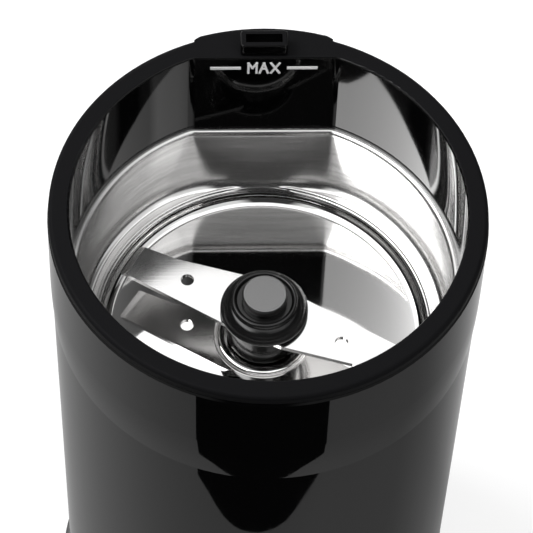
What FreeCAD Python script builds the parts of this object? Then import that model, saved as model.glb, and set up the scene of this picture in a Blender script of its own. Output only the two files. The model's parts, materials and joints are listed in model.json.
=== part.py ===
"""Electric spice grinder with its lid off, in millimetres.

The origin is the centre of the base on the table, +Z is up and the rear of the body, with
the lid interlock, points along +Y. Each sub-part is written to its own file in parts.
"""

import FreeCAD
import Part

import math
import os

from FreeCAD import Vector

# Rim and cavity
rim_radius = 47.0
rim_top = 162.0
rim_height = 2.2
rim_gap = 0.5
rim_gap_depth = 1.0
rim_outer_round = 1.0
rim_inner_fillet = 0.5
rim_width = 4.5
land_rise = 1.0
land_width = 26.6
land_side_width = 2.0
cavity_flat_inset = 3.1
cavity_corner = 4.0
lip_depth = 27.0
skirt_inset = 2.5

# Interlock block, its key slot and the fill mark
block_width = 10.4
block_depth = 4.4
block_height = 3.5
block_rear_wall = 1.1
block_corner = 0.8
slot_width = 8.0
slot_depth = 2.2
mark_below_rim = 3.6
mark_bar_inner = 5.5
mark_bar_outer = 11.4
mark_bar_height = 0.85
mark_stroke = 0.5
mark_letter_height = 3.5
mark_letter_width = 1.8
mark_letter_gap = 0.2
mark_thickness = 0.15

# Body shell
shell_proud = 0.2
shell_taper = 0.9
shell_bore_gap = 0.3
step_below_rim = 34.2
step_height = 13.0
step_depth = 0.4
shell_edge_fillet = 0.4
snap_count = 4
snap_first_angle = 35.0
snap_width = 10.0
snap_height = 3.0
snap_rise = 0.6
snap_root = 0.5
snap_play = 0.3
snap_below_rim = 17.0

# Base
base_flare = 1.0
base_height = 22.0
base_lift = 1.5
base_seam = 0.3
base_edge = 0.8
base_flare_share = 0.6
spigot_gap = 0.2
spigot_wall = 1.6
spigot_height = 5.0
plate_thickness = 2.5
plate_ledge = 2.6
plate_gap = 0.2
foot_radius = 6.0
foot_recess = 0.9
foot_gap = 0.05
foot_fillet = 0.4
foot_inset = 10.0
foot_angles = (45.0, 135.0, 225.0, 315.0)
vent_count = 7
vent_width = 2.2
vent_length = 22.0
vent_pitch = 5.0
inlet_below_top = 12.0
inlet_bore_radius = 3.3
inlet_wall = 1.5
inlet_play = 0.05
inlet_length = 7.0
inlet_flange_radius = 5.8
inlet_flange_thickness = 1.6
inlet_flange_gap = 0.2
inlet_seat_inset = 2.4

# Bowl
bowl_depth = 25.0
bowl_wall = 0.8
bowl_inset = 0.6
lip_height = 1.8
lip_overhang = 0.6
lip_top_fillet = 0.9
lip_low_fillet = 0.4
flange_reach = 1.3
ledge_rise = 3.4
ledge_fillet = 2.6
dish_inset = 5.3
dish_fillet = 2.9
bead_offset = 0.9
bead_radius = 0.5
boss_gap = 1.85
boss_section = 1.2
neck_radius = 6.4
neck_height = 4.5

# Cradle, gasket and seal
cradle_clearance = 0.5
cradle_floor = 3.0
gasket_thickness = 1.7
gasket_inset = 3.2
gasket_width = 6.0
pillar_inset = 2.0
pillar_radius = 3.2
pillar_angles = (15.0, 165.0, 195.0, 345.0)
seal_flange_width = 2.1
seal_flange_height = 1.1
seal_flange_gap = 0.5
seal_below_neck = 0.2

# Spindle
shaft_radius = 3.0
shaft_top_above_floor = 8.4
shaft_below_bearing = 1.0
shaft_chamfer = 0.4
running_gap = 0.04
press_gap = 0.02
slide_gap = 0.01
blade_above_floor = 9.1
blade_thickness = 1.2
blade_root_reach = 7.3
blade_root_half = 6.8
blade_kink_inset = 9.7
blade_kink_half = 4.0
blade_tip_gap = 4.0
blade_tip_long = 4.4
blade_tip_short = 3.7
blade_tip_slant = 0.4
blade_tip_corner = 0.5
blade_tip_bevel = 1.2
blade_bevel_share = 0.6
blade_angle = -26.2
blade_hole_inset = 14.2
blade_hole_radius = 1.5
hub_skirt_wall = 1.75
hub_skirt_clearance = 0.9
hub_skirt_fillet = 0.4
hub_cavity_gap = 0.5
hub_cavity_height = 4.7
drive_wall = 1.4
drive_flat_wall = 0.6
drive_height = 1.4
drive_gap = 0.1
insert_radius = 4.0
collar_radius = 9.8
collar_height = 5.6
collar_root_inset = 0.7
collar_bulge_height = 0.9
collar_shoulder_inset = 0.4
collar_shoulder_height = 2.0
collar_step_inset = 2.4
collar_slope = 1.1
collar_slope_drop = 2.2
collar_cove = 0.1
collar_cove_drop = 1.6
collar_ring_drop = 0.9
collar_ring_width = 1.0
collar_ring_crown = 0.4
collar_groove_drop = 1.0
collar_groove_inset = 1.3
cap_radius = 5.05
cap_overhang = 0.1
cap_thickness = 1.6
cap_chamfer = 0.35
cap_stem_radius = 2.2
cap_stem_length = 6.6

# Motor
damper_height = 6.5
damper_radius = 5.0
damper_waist = 0.8
damper_groove = 2.0
damper_inset = 5.5
damper_screw_play = 0.3
bracket_plate = 4.0
bracket_margin = 1.0
bracket_corner = 6.0
bracket_bolt_cover = 0.8
pole_depth = 5.5
stator_corner = 8.0
stator_yoke = 6.0
air_gap = 0.5
stack_height = 22.0
pole_half = 10.0
coil_gap = 0.3
coil_thickness = 8.0
coil_bore_gap = 0.8
coil_corner = 6.0
upper_leg = 10.0
lower_leg = 26.0
leg_thickness = 8.0
leg_half_width = 9.0
bearing_radius = 6.0
bearing_length = 8.0
bearing_wall = 3.0
bolt_radius = 1.5
bolt_inset = 3.0
bolt_y = 6.4
bolt_head_radius = 2.5
bolt_head_height = 2.4
bolt_end_play = 1.0
armature_radius = 15.0
armature_slots = 12
slot_opening = 2.4
slot_length = 7.0
winding_gap = 0.1
winding_inset = 1.5
winding_slot_inset = 0.5
winding_core_gap = 1.2
winding_overhang = 7.0
winding_fillet = 2.5
commutator_radius = 9.5
commutator_length = 12.0
commutator_segments = 24
commutator_groove = 0.4
commutator_groove_depth = 0.8
commutator_gap = 2.0
brush_gap = 0.25
brush_length = 11.0
brush_half_width = 2.7
brush_half_height = 2.2
brush_spring_radius = 1.5
brush_spring_wire = 0.25
brush_spring_turns = 6
holder_radius = 4.5
holder_nose_gap = 3.0
holder_overhang = 3.5
holder_flange_radius = 6.0
holder_flange = 1.5
holder_clearance = 0.1
cap_plug_length = 2.4
cap_head = 1.4
cap_head_radius = 4.4
cap_slot_depth = 0.7
cap_slot_width = 0.8
washer_radius = 5.5
washer_thickness = 0.6
washer_gap = 0.2

# Interlock linkage
rod_clearance = 0.2
rod_below_block = 3.2
rod_foot_height = 4.7
rod_foot_gap = 0.3
stem_inset = 2.8
stem_radius = 1.5
stem_hole_gap = 0.3
stem_ball_clearance = 0.25
spring_mean_radius = 2.6
spring_wire_radius = 0.35
spring_turns = 6
shelf_below_foot = 15.5
shelf_half_width = 6.0
shelf_margin = 0.4
sheet = 1.6
bracket_setback = 3.9
bracket_tail = 2.0
bracket_flange = 7.0
bracket_width_half = 14.0
switch_gap = 0.7
switch_left = 12.0
switch_right = 8.0
switch_depth = 6.4
switch_height = 10.0
switch_corner = 0.4
switch_drop = 12.4
switch_pad_inset = 2.0
switch_pad_margin = 1.0
lever_hinge = 10.5
lever_reach = 13.0
lever_thickness = 0.5
lever_width = 3.6
lever_angle = 16.0
lever_lift = 1.3
lever_eye_radius = 1.0
lever_pin_radius = 0.5
lever_pin_gap = 0.05
ear_thickness = 0.8
ear_gap = 0.2
ear_half_width = 1.2
ear_root = 0.5
button_reach = 3.5
button_radius = 1.0
button_bore_gap = 0.1
button_fillet = 0.3
button_travel = 1.0
button_gap = 0.25
button_length = 4.0
terminal_width = 3.0
terminal_thickness = 0.8
terminal_length = 7.0
terminal_pitch = 6.5

# Fasteners and small parts
past = 1.0
screw_clearance = 0.05
screw_slot_width = 0.8
screw_slot_share = 0.5
base_screw_radius = 1.5
base_screw_length = 14.0
base_screw_head = 3.2
base_screw_head_height = 1.4
base_screw_sink_gap = 0.2
damper_screw_radius = 2.0
damper_screw_head = 3.2
damper_screw_head_height = 2.6
bracket_screw_radius = 1.3
bracket_screw_head = 2.5
bracket_screw_head_height = 1.5
bracket_screw_x = 9.0
bracket_screw_play = 0.5
switch_screw_radius = 1.1
switch_screw_head = 1.9
switch_screw_head_height = 1.0
switch_screw_x = 5.5
switch_screw_share = 0.3
wire_block_width = 24.0
wire_block_depth = 12.0
wire_block_height = 9.0
wire_block_y = -24.0
wire_block_ways = 3
wire_block_screw_radius = 2.0
wire_block_tunnel_radius = 1.6
wire_block_tunnel_share = 0.35

# Levels worked out from the driving dimensions
lip_top = rim_top - lip_depth
lip_under = lip_top - lip_height
bowl_floor = lip_top - bowl_depth
bowl_under = bowl_floor - bowl_wall
ledge = bowl_floor + ledge_rise
cradle_floor_top = bowl_under - gasket_thickness
cradle_under = cradle_floor_top - cradle_floor
bracket_top = cradle_under - damper_height
bracket_under = bracket_top - bracket_plate
stator_top = bracket_under - upper_leg
stator_bottom = stator_top - stack_height
bar_top = stator_bottom - lower_leg
bar_under = bar_top - bracket_plate
bearing_overlap = (bearing_length - bracket_plate) / 2
upper_boss_under = bracket_under - bearing_overlap
lower_boss_top = bar_top + bearing_overlap
lower_boss_under = bar_under - bearing_overlap
shell_top = rim_top - rim_height - rim_gap
shell_bottom = base_height + base_seam
plate_under = base_lift
plate_top = plate_under + plate_thickness
inlet_height = base_height - inlet_below_top
blade_under = bowl_floor + blade_above_floor
blade_top = blade_under + blade_thickness
collar_top = blade_top + collar_height
pole_middle = (stator_top + stator_bottom) / 2
commutator_top = stator_bottom - winding_overhang - commutator_gap
commutator_bottom = commutator_top - commutator_length
brush_level = (commutator_top + commutator_bottom) / 2
rod_top = rim_top + block_height - rod_below_block
foot_top = cradle_under - rod_foot_gap
foot_under = foot_top - rod_foot_height
shelf_top = foot_under - shelf_below_foot
shelf_under = shelf_top - sheet
switch_top = shelf_under - switch_drop
switch_under = switch_top - switch_height
hinge_level = switch_top + lever_lift
bracket_low = switch_under - bracket_tail

# Radii and places worked out from the driving dimensions
land_radius = rim_radius + land_rise
cavity_radius = rim_radius - rim_width
cavity_flat = cavity_radius - cavity_flat_inset
skirt_radius = rim_radius - skirt_inset
shell_top_radius = rim_radius + shell_proud
shell_low_radius = shell_top_radius - step_depth
shell_foot_radius = shell_low_radius - shell_taper
shell_bore_radius = skirt_radius + shell_bore_gap
base_radius = rim_radius + base_flare
flare_top = base_height * base_flare_share
flare_run = base_radius - shell_foot_radius
flare_rise = flare_top - plate_under - base_edge
flare_arc = (flare_run**2 + flare_rise**2) / (2 * flare_run)
flare_turn = math.asin(flare_rise / flare_arc) / 2
flare_radius = shell_foot_radius + flare_arc * (1 - math.cos(flare_turn))
flare_height = flare_top - flare_arc * math.sin(flare_turn)
spigot_radius = shell_bore_radius - spigot_gap
spigot_bore = spigot_radius - spigot_wall
plate_radius = base_radius - plate_ledge
inlet_seat = base_radius - inlet_seat_inset
inlet_inner_end = base_radius - inlet_length
foot_circle = base_radius - foot_inset
dish_radius = cavity_radius - dish_inset
gasket_outer = dish_radius - gasket_inset
gasket_inner = gasket_outer - gasket_width
pillar_circle = skirt_radius - pillar_inset - pillar_radius
blade_tip_reach = dish_radius - blade_tip_gap
blade_kink_reach = blade_tip_reach - blade_kink_inset
blade_hole_reach = blade_tip_reach - blade_hole_inset
hub_skirt_radius = neck_radius + hub_skirt_wall
boss_radius = hub_skirt_radius + boss_gap
seal_flange_radius = neck_radius + seal_flange_width
drive_radius = insert_radius + drive_wall
drive_flat = insert_radius + drive_flat_wall
stator_bore = armature_radius + air_gap
stator_window = stator_bore + pole_depth
stator_half = stator_window + stator_yoke
coil_inner = stator_bore + coil_bore_gap
bracket_half = stator_half + bracket_margin
damper_spread = bracket_half - damper_inset
leg_inner = bracket_half - leg_thickness
bolt_x = stator_half - bolt_inset
slot_root_radius = armature_radius - slot_length
winding_radius = armature_radius - winding_inset
holder_start = commutator_radius + holder_nose_gap
holder_end = bracket_half + holder_overhang
plug_radius = math.hypot(brush_half_width + holder_clearance, brush_half_height + holder_clearance)
block_rear = skirt_radius
block_front = block_rear - block_depth
slot_middle = block_rear - block_rear_wall - slot_depth / 2
rod_half_width = slot_width / 2 - rod_clearance
rod_front = slot_middle - slot_depth / 2 + rod_clearance
rod_back = slot_middle + slot_depth / 2 - rod_clearance
stem_y = slot_middle - stem_inset
bracket_face = stem_y - bracket_setback
switch_front = bracket_face + switch_gap
switch_middle_x = (switch_right - switch_left) / 2
switch_screw_level = switch_under + switch_height * switch_screw_share
bracket_screw_y = bracket_face - sheet - (bracket_flange - sheet) / 2


def cylinder(radius, bottom, top, x=0.0, y=0.0):
    """An upright cylinder between two levels."""
    return Part.makeCylinder(radius, top - bottom, Vector(x, y, bottom))


def ring(inner, outer, bottom, top, x=0.0, y=0.0):
    """An upright tube between two levels."""
    return cylinder(outer, bottom, top, x, y).cut(cylinder(inner, bottom - past, top + past, x, y))


def bar(radius, start, end, y, z):
    """A cylinder along X between two places."""
    return Part.makeCylinder(radius, end - start, Vector(start, y, z), Vector(1, 0, 0))


def block(x_range, y_range, z_range):
    """A box between pairs of places."""
    size = [high - low for low, high in (x_range, y_range, z_range)]
    return Part.makeBox(size[0], size[1], size[2], Vector(x_range[0], y_range[0], z_range[0]))


def polar(radius, degrees):
    """The x and y of a point on a circle."""
    angle = math.radians(degrees)
    return radius * math.cos(angle), radius * math.sin(angle)


def flat_edges(shape, level):
    """The edges that lie at one level."""
    found = []
    for edge in shape.Edges:
        box = edge.BoundBox
        if abs(box.ZMin - level) < 1e-4 and abs(box.ZMax - level) < 1e-4:
            found.append(edge)
    return found


def upright_edges(shape):
    """The straight edges that run along Z."""
    found = []
    for edge in shape.Edges:
        box = edge.BoundBox
        if box.XLength < 1e-4 and box.YLength < 1e-4 and box.ZLength > 1e-3:
            found.append(edge)
    return found


def fuse_all(shapes):
    """One solid from touching shapes, with shared faces merged."""
    return shapes[0].multiFuse(shapes[1:]).removeSplitter()


def pair(shape):
    """A shape and its copy half a turn round the axis."""
    other = shape.copy()
    other.rotate(Vector(0, 0, 0), Vector(0, 0, 1), 180)
    return [shape, other]


def revolve(path):
    """A solid of revolution from (radius, height) points; a nested pair is an arc's two points."""
    edges = []
    last = Vector(path[0][0], 0, path[0][1])
    first = last
    for step in path[1:]:
        if isinstance(step[0], tuple):
            middle = Vector(step[0][0], 0, step[0][1])
            end = Vector(step[1][0], 0, step[1][1])
            edges.append(Part.Arc(last, middle, end).toShape())
        else:
            end = Vector(step[0], 0, step[1])
            edges.append(Part.makeLine(last, end))
        last = end
    edges.append(Part.makeLine(last, first))
    face = Part.Face(Part.Wire(edges))
    return face.revolve(Vector(0, 0, 0), Vector(0, 0, 1), 360)


def outline_prism(points, bottom, top):
    """A prism over a polygon of (x, y) points."""
    corners = [Vector(x, y, bottom) for x, y in points]
    face = Part.Face(Part.makePolygon(corners + corners[:1]))
    return face.extrude(Vector(0, 0, top - bottom))


def d_prism(offset, bottom, top):
    """A prism with the cavity's D-shaped outline, grown outwards by an offset."""
    radius = cavity_radius + offset
    flat = cavity_flat + offset
    corner = cavity_corner + offset
    centre_y = flat - corner
    centre_x = math.sqrt((radius - corner) ** 2 - centre_y**2)
    turn = math.atan2(centre_y, centre_x)
    half = (math.pi / 2 + turn) / 2
    side = Vector(radius * math.cos(turn), radius * math.sin(turn), bottom)
    bend = Vector(centre_x + corner * math.cos(half), centre_y + corner * math.sin(half), bottom)
    top_right = Vector(centre_x, flat, bottom)
    top_left = Vector(-centre_x, flat, bottom)
    far_side = Vector(-side.x, side.y, bottom)
    edges = [
        Part.Arc(side, bend, top_right).toShape(),
        Part.makeLine(top_right, top_left),
        Part.Arc(top_left, Vector(-bend.x, bend.y, bottom), far_side).toShape(),
        Part.Arc(far_side, Vector(0, -radius, bottom), side).toShape(),
    ]
    return Part.Face(Part.Wire(edges)).extrude(Vector(0, 0, top - bottom))


def rounded_square(half, corner, bottom, top):
    """An upright square block with rounded corners."""
    body = block((-half, half), (-half, half), (bottom, top))
    return body.makeFillet(corner, upright_edges(body))


def coil_spring(mean_radius, wire_radius, turns, length):
    """A round-wire coil along +Z from the origin, with its ends inside the given length."""
    rise = length - 2 * wire_radius
    helix = Part.makeHelix(rise / turns, rise, mean_radius)
    start = Vector(mean_radius, 0, 0)
    heading = Vector(0, 2 * math.pi * mean_radius, rise / turns)
    section = Part.Wire([Part.makeCircle(wire_radius, start, heading)])
    coil = Part.Wire(helix.Edges).makePipeShell([section], True, True)
    coil.translate(Vector(0, 0, wire_radius))
    return Part.Solid(coil.Shells[0]) if coil.ShapeType != "Solid" else coil


def screw(radius, head_radius, head_height, length, x, y, seat):
    """A screw pointing up, its head below the seat level."""
    shank = cylinder(radius, seat, seat + length, x, y)
    head = cylinder(head_radius, seat - head_height, seat, x, y)
    half = screw_slot_width / 2
    under = seat - head_height
    roof = under + head_height * screw_slot_share
    slot = block((x - head_radius, x + head_radius), (y - half, y + half), (under, roof))
    return head.fuse(shank).removeSplitter().cut(slot)


def rim_disc(radius, bottom):
    """A disc whose top edge is rounded, for the rim and its land."""
    turn = rim_outer_round * (1 - math.sqrt(0.5))
    return revolve(
        [
            (0.0, bottom),
            (radius, bottom),
            (radius, rim_top - rim_outer_round),
            ((radius - turn, rim_top - turn), (radius - rim_outer_round, rim_top)),
            (0.0, rim_top),
        ]
    )


def rim_land(bottom):
    """The low land at the rear of the rim, a larger circle with a sloped side at each end."""
    half = land_width / 2
    foot = half + land_side_width
    shoulder = math.sqrt(land_radius**2 - half**2)
    crossing = math.sqrt(rim_radius**2 - foot**2)
    line = [(foot, 0.0), (foot, crossing), (half, shoulder), (half, land_radius)]
    mirrored = [(-x, y) for x, y in reversed(line)]
    return rim_disc(land_radius, bottom).common(outline_prism(line + mirrored, bottom, rim_top))


def snap_sector(inner, outer, height, extra, angle):
    """A short band of a ring, used for the collar's snaps and the shell's pockets."""
    middle = rim_top - snap_below_rim
    band = ring(inner, outer, middle - height / 2, middle + height / 2)
    half = snap_width / 2 + extra
    window = block((inner - half, outer + half), (-half, half), (middle - height, middle + height))
    window.rotate(Vector(0, 0, 0), Vector(0, 0, 1), angle)
    return band.common(window)


def snap_angles():
    """The directions of the collar's snaps."""
    return [snap_first_angle + 360 / snap_count * index for index in range(snap_count)]


def rim_collar():
    """The ring on top, the D-shaped wall below it and the interlock block."""
    under = rim_top - rim_height
    body = rim_disc(rim_radius, under).fuse(rim_land(under)).removeSplitter()
    seat = cylinder(rim_radius - rim_gap_depth, shell_top, under)
    skirt = cylinder(skirt_radius, lip_top, shell_top)
    body = fuse_all([body, seat, skirt])
    cavity = d_prism(0.0, lip_top - past, rim_top + past)
    body = body.cut(cavity)
    rim_edges = [edge for edge in flat_edges(body, rim_top) if inside_cavity_line(edge)]
    body = body.makeFillet(rim_inner_fillet, rim_edges)
    body = fuse_all([body, interlock_block()])
    snaps = [
        snap_sector(skirt_radius - snap_root, skirt_radius + snap_rise, snap_height, 0.0, angle)
        for angle in snap_angles()
    ]
    body = fuse_all([body] + snaps)
    return body.cut(rod_channel(lip_top - past, rim_top + block_height + past))


def inside_cavity_line(edge):
    """Whether an edge at the rim's top follows the cavity rather than the rim's outside."""
    point = edge.valueAt((edge.FirstParameter + edge.LastParameter) / 2)
    return math.hypot(point.x, point.y) < (cavity_radius + rim_radius) / 2


def interlock_block():
    """The raised block at the rear of the rim, with rounded corners."""
    half = block_width / 2
    body = block((-half, half), (block_front, block_rear), (rim_top - past, rim_top + block_height))
    body = body.makeFillet(block_corner, upright_edges(body))
    return body.makeFillet(block_corner / 2, flat_edges(body, rim_top + block_height))


def rod_channel(bottom, top):
    """The straight slot that the lid's key enters and the push rod slides in."""
    half = slot_width / 2
    depth = (slot_middle - slot_depth / 2, slot_middle + slot_depth / 2)
    return block((-half, half), depth, (bottom, top))


def stroke(start, end, width=mark_stroke):
    """One straight stroke of the fill mark, from two (x, z) points on the flat wall."""
    run = math.hypot(end[0] - start[0], end[1] - start[1])
    half = width / 2
    front = cavity_flat - mark_thickness
    body = block((-half, run + half), (front, cavity_flat), (-half, half))
    slope = math.degrees(math.atan2(end[1] - start[1], end[0] - start[0]))
    body.rotate(Vector(0, 0, 0), Vector(0, -1, 0), slope)
    body.translate(Vector(start[0], 0, start[1]))
    return body


def max_mark():
    """Two bars with the plain word between them, each letter from straight strokes."""
    middle = rim_top - mark_below_rim
    low = middle - mark_letter_height / 2
    high = middle + mark_letter_height / 2
    wide = mark_letter_width
    pitch = wide + mark_letter_gap + mark_stroke
    left = [pitch * index - wide / 2 for index in (-1, 0, 1)]
    cross = middle - mark_stroke / 2
    letter_m = [
        stroke((left[0], low), (left[0], high)),
        stroke((left[0], high), (left[0] + wide / 2, middle)),
        stroke((left[0] + wide / 2, middle), (left[0] + wide, high)),
        stroke((left[0] + wide, high), (left[0] + wide, low)),
    ]
    letter_a = [
        stroke((left[1], low), (left[1] + wide / 2, high)),
        stroke((left[1] + wide / 2, high), (left[1] + wide, low)),
        stroke((left[1] + wide / 4, cross), (left[1] + wide * 3 / 4, cross)),
    ]
    letter_x = [
        stroke((left[2], low), (left[2] + wide, high)),
        stroke((left[2], high), (left[2] + wide, low)),
    ]
    letters = [fuse_all(letter) for letter in (letter_m, letter_a, letter_x)]
    tall = mark_bar_height
    for side in (-1, 1):
        ends = [(side * mark_bar_inner, middle), (side * mark_bar_outer, middle)]
        letters.append(stroke(*ends, tall))
    return letters


def body_shell():
    """The gloss tube with a soft step line round it and pockets for the collar's snaps."""
    step_low = rim_top - step_below_rim
    step_top = step_low + step_height
    blend = shell_top_radius - step_depth / 4
    edge = shell_edge_fillet
    body = revolve(
        [
            (shell_bore_radius, shell_bottom),
            (shell_foot_radius, shell_bottom),
            (shell_low_radius, step_low),
            ((blend, (step_top + step_low) / 2), (shell_top_radius, step_top)),
            (shell_top_radius, shell_top - edge),
            (shell_top_radius - edge, shell_top),
            (shell_bore_radius, shell_top),
        ]
    )
    reach = skirt_radius + snap_rise + snap_play
    for angle in snap_angles():
        pocket = snap_sector(skirt_radius, reach, snap_height + snap_play * 2, snap_play, angle)
        body = body.cut(pocket)
    return body


def base_ring():
    """The flared foot with a spigot up into the shell and a recess for the base plate."""
    recess = plate_radius + plate_gap
    body = revolve(
        [
            (recess, plate_under),
            (base_radius - base_edge, plate_under),
            (base_radius, plate_under + base_edge),
            ((flare_radius, flare_height), (shell_foot_radius, flare_top)),
            (shell_foot_radius, base_height),
            (spigot_radius, base_height),
            (spigot_radius, base_height + spigot_height),
            (spigot_bore, base_height + spigot_height),
            (spigot_bore, plate_top),
            (recess, plate_top),
        ]
    )
    along = Vector(0, 1, 0)
    start = Vector(0, inlet_inner_end, inlet_height)
    body = body.cut(Part.makeCylinder(inlet_bore_radius + inlet_wall, base_radius, start, along))
    reach = base_radius - inlet_seat + past
    place = Vector(0, inlet_seat, inlet_height)
    return body.cut(Part.makeCylinder(inlet_flange_radius + inlet_flange_gap, reach, place, along))


def cord_bush():
    """The hollow bush of the cord inlet, with its flange seated in the base ring."""
    along = Vector(0, 1, 0)
    start = Vector(0, inlet_inner_end, inlet_height)
    length = inlet_seat + inlet_flange_thickness - inlet_inner_end
    tube = Part.makeCylinder(inlet_bore_radius + inlet_wall - inlet_play, length, start, along)
    place = Vector(0, inlet_seat, inlet_height)
    flange = Part.makeCylinder(inlet_flange_radius, inlet_flange_thickness, place, along)
    hole = Part.makeCylinder(inlet_bore_radius, length + past * 2, start - along * past, along)
    return fuse_all([tube, flange]).cut(hole)


def base_plate():
    """The bottom cover with vents, foot recesses and sunk screw holes."""
    body = cylinder(plate_radius, plate_under, plate_top)
    under = plate_under - past
    above = plate_top + past
    half = vent_length / 2
    for index in range(vent_count):
        x = (index - (vent_count - 1) / 2) * vent_pitch
        body = body.cut(block((x - vent_width / 2, x + vent_width / 2), (-half, half), (under, above)))
    for angle in foot_angles:
        x, y = polar(foot_circle, angle)
        body = body.cut(cylinder(foot_radius + foot_gap, under, plate_under + foot_recess, x, y))
    sink = plate_under + base_screw_head_height
    for angle in pillar_angles:
        x, y = polar(pillar_circle, angle)
        body = body.cut(cylinder(base_screw_head + base_screw_sink_gap, under, sink, x, y))
        body = body.cut(cylinder(base_screw_radius + screw_clearance, under, above, x, y))
    return body


def rubber_feet():
    """Four pads that the body stands on."""
    feet = []
    for angle in foot_angles:
        x, y = polar(foot_circle, angle)
        pad = cylinder(foot_radius, 0.0, plate_under + foot_recess, x, y)
        feet.append(pad.makeFillet(foot_fillet, flat_edges(pad, 0.0)))
    return feet


def base_screws():
    """Four screws up through the base plate into the cradle's pillars."""
    seat = plate_under + base_screw_head_height
    sizes = (base_screw_radius, base_screw_head, base_screw_head_height, base_screw_length)
    return [screw(*sizes, *polar(pillar_circle, angle), seat) for angle in pillar_angles]


def bowl():
    """The steel bowl: rolled lip, D-shaped wall, bead, dish, raised ring and spindle neck."""
    wall_in = -bowl_inset
    wall_out = wall_in + bowl_wall
    outer = d_prism(wall_out, ledge - bowl_wall, lip_under + lip_height / 2)
    outer = outer.makeFillet(ledge_fillet + bowl_wall, flat_edges(outer, ledge - bowl_wall))
    pan = cylinder(dish_radius + bowl_wall, bowl_under, ledge + bowl_wall)
    pan = pan.makeFillet(dish_fillet + bowl_wall, flat_edges(pan, bowl_under))
    inner = d_prism(wall_in, ledge, lip_top + past)
    inner = inner.makeFillet(ledge_fillet, flat_edges(inner, ledge))
    dish = cylinder(dish_radius, bowl_floor, ledge + past)
    dish = dish.makeFillet(dish_fillet, flat_edges(dish, bowl_floor))
    body = outer.fuse(pan).cut(inner).cut(dish)
    lip_hole = d_prism(wall_in - lip_overhang, lip_under - past, lip_top + past)
    lip = d_prism(flange_reach, lip_under, lip_top).cut(lip_hole)
    upper = [edge for edge in flat_edges(lip, lip_top) if inside_lip_line(edge)]
    lip = lip.makeFillet(lip_top_fillet, upper)
    lower = [edge for edge in flat_edges(lip, lip_under) if inside_lip_line(edge)]
    lip = lip.makeFillet(lip_low_fillet, lower)
    bead = Part.makeTorus(dish_radius + bead_offset, bead_radius, Vector(0, 0, ledge))
    boss = Part.makeTorus(boss_radius, boss_section, Vector(0, 0, bowl_floor))
    boss = boss.common(cylinder(boss_radius * 2, bowl_under, bowl_floor + boss_section * 2))
    neck = cylinder(neck_radius, bowl_under, bowl_floor + neck_height)
    body = body.fuse(lip).fuse(bead).fuse(boss).fuse(neck).removeSplitter()
    return body.cut(cylinder(neck_radius - bowl_wall, bowl_under - past, rim_top))


def inside_lip_line(edge):
    """Whether an edge of the lip follows its inner outline."""
    point = edge.valueAt((edge.FirstParameter + edge.LastParameter) / 2)
    half = (bowl_inset + lip_overhang - flange_reach) / 2
    return math.hypot(point.x, point.y) < cavity_radius - half and point.y < cavity_flat - half


def bowl_gasket():
    """The rubber ring that carries the bowl's floor."""
    return ring(gasket_inner, gasket_outer, cradle_floor_top, bowl_under)


def shaft_seal():
    """The rubber seal pressed into the bowl's neck round the shaft."""
    bore = shaft_radius + running_gap
    neck_bore = neck_radius - bowl_wall
    tube = ring(bore, neck_bore - press_gap, bowl_under, bowl_floor + neck_height - seal_below_neck)
    flange = ring(bore, seal_flange_radius, bowl_under - seal_flange_height, bowl_under)
    return fuse_all([tube, flange])


def bowl_cradle():
    """The inner cup that carries the bowl and motor, with its rod guide and four pillars."""
    body = cylinder(skirt_radius, cradle_under, lip_under)
    under = cradle_under - past
    above = cradle_floor_top + past
    body = body.cut(d_prism(cradle_clearance, cradle_floor_top, lip_under + past))
    body = body.cut(rod_channel(under, lip_under + past))
    body = body.cut(cylinder(seal_flange_radius + seal_flange_gap, under, above))
    places = [polar(pillar_circle, angle) for angle in pillar_angles]
    pillars = [cylinder(pillar_radius, plate_top, cradle_under + past, x, y) for x, y in places]
    body = fuse_all([body] + pillars)
    depth = plate_top + base_screw_length
    for x, y in places:
        body = body.cut(cylinder(base_screw_radius + screw_clearance, plate_top - past, depth, x, y))
    for x, y in damper_places():
        body = body.cut(cylinder(damper_screw_radius + screw_clearance, under, above, x, y))
    hole = bracket_screw_radius + screw_clearance
    for x in (-bracket_screw_x, bracket_screw_x):
        body = body.cut(cylinder(hole, under, above, x, bracket_screw_y))
    return body


def damper_places():
    """The x and y of the four dampers."""
    return [(damper_spread * a, damper_spread * b) for a in (-1, 1) for b in (-1, 1)]


def rubber_dampers():
    """Four waisted rubber bushes between the cradle and the motor."""
    dampers = []
    bore = damper_screw_radius + screw_clearance
    low = (bracket_top + cradle_under - damper_groove) / 2
    for x, y in damper_places():
        body = ring(bore, damper_radius, bracket_top, cradle_under, x, y)
        waist = damper_radius - damper_waist
        groove = ring(waist, damper_radius + past, low, low + damper_groove, x, y)
        dampers.append(body.cut(groove))
    return dampers


def damper_screws():
    """Four screws up through the upper bracket and the dampers into the cradle."""
    length = cradle_floor_top - bracket_under - damper_screw_play
    sizes = (damper_screw_radius, damper_screw_head, damper_screw_head_height, length)
    return [screw(*sizes, x, y, bracket_under) for x, y in damper_places()]


def bolt_places():
    """The x and y of the four stator bolts."""
    return [(bolt_x * a, bolt_y * b) for a in (-1, 1) for b in (-1, 1)]


def legs(bottom, top):
    """The two uprights of a motor bracket, beside the armature."""
    leg = block((leg_inner, bracket_half), (-leg_half_width, leg_half_width), (bottom, top))
    return pair(leg)


def bolt_holes(body, bottom, top):
    """A body with the holes of the stator bolts cut through it."""
    for x, y in bolt_places():
        body = body.cut(cylinder(bolt_radius + screw_clearance, bottom, top, x, y))
    return body


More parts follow.
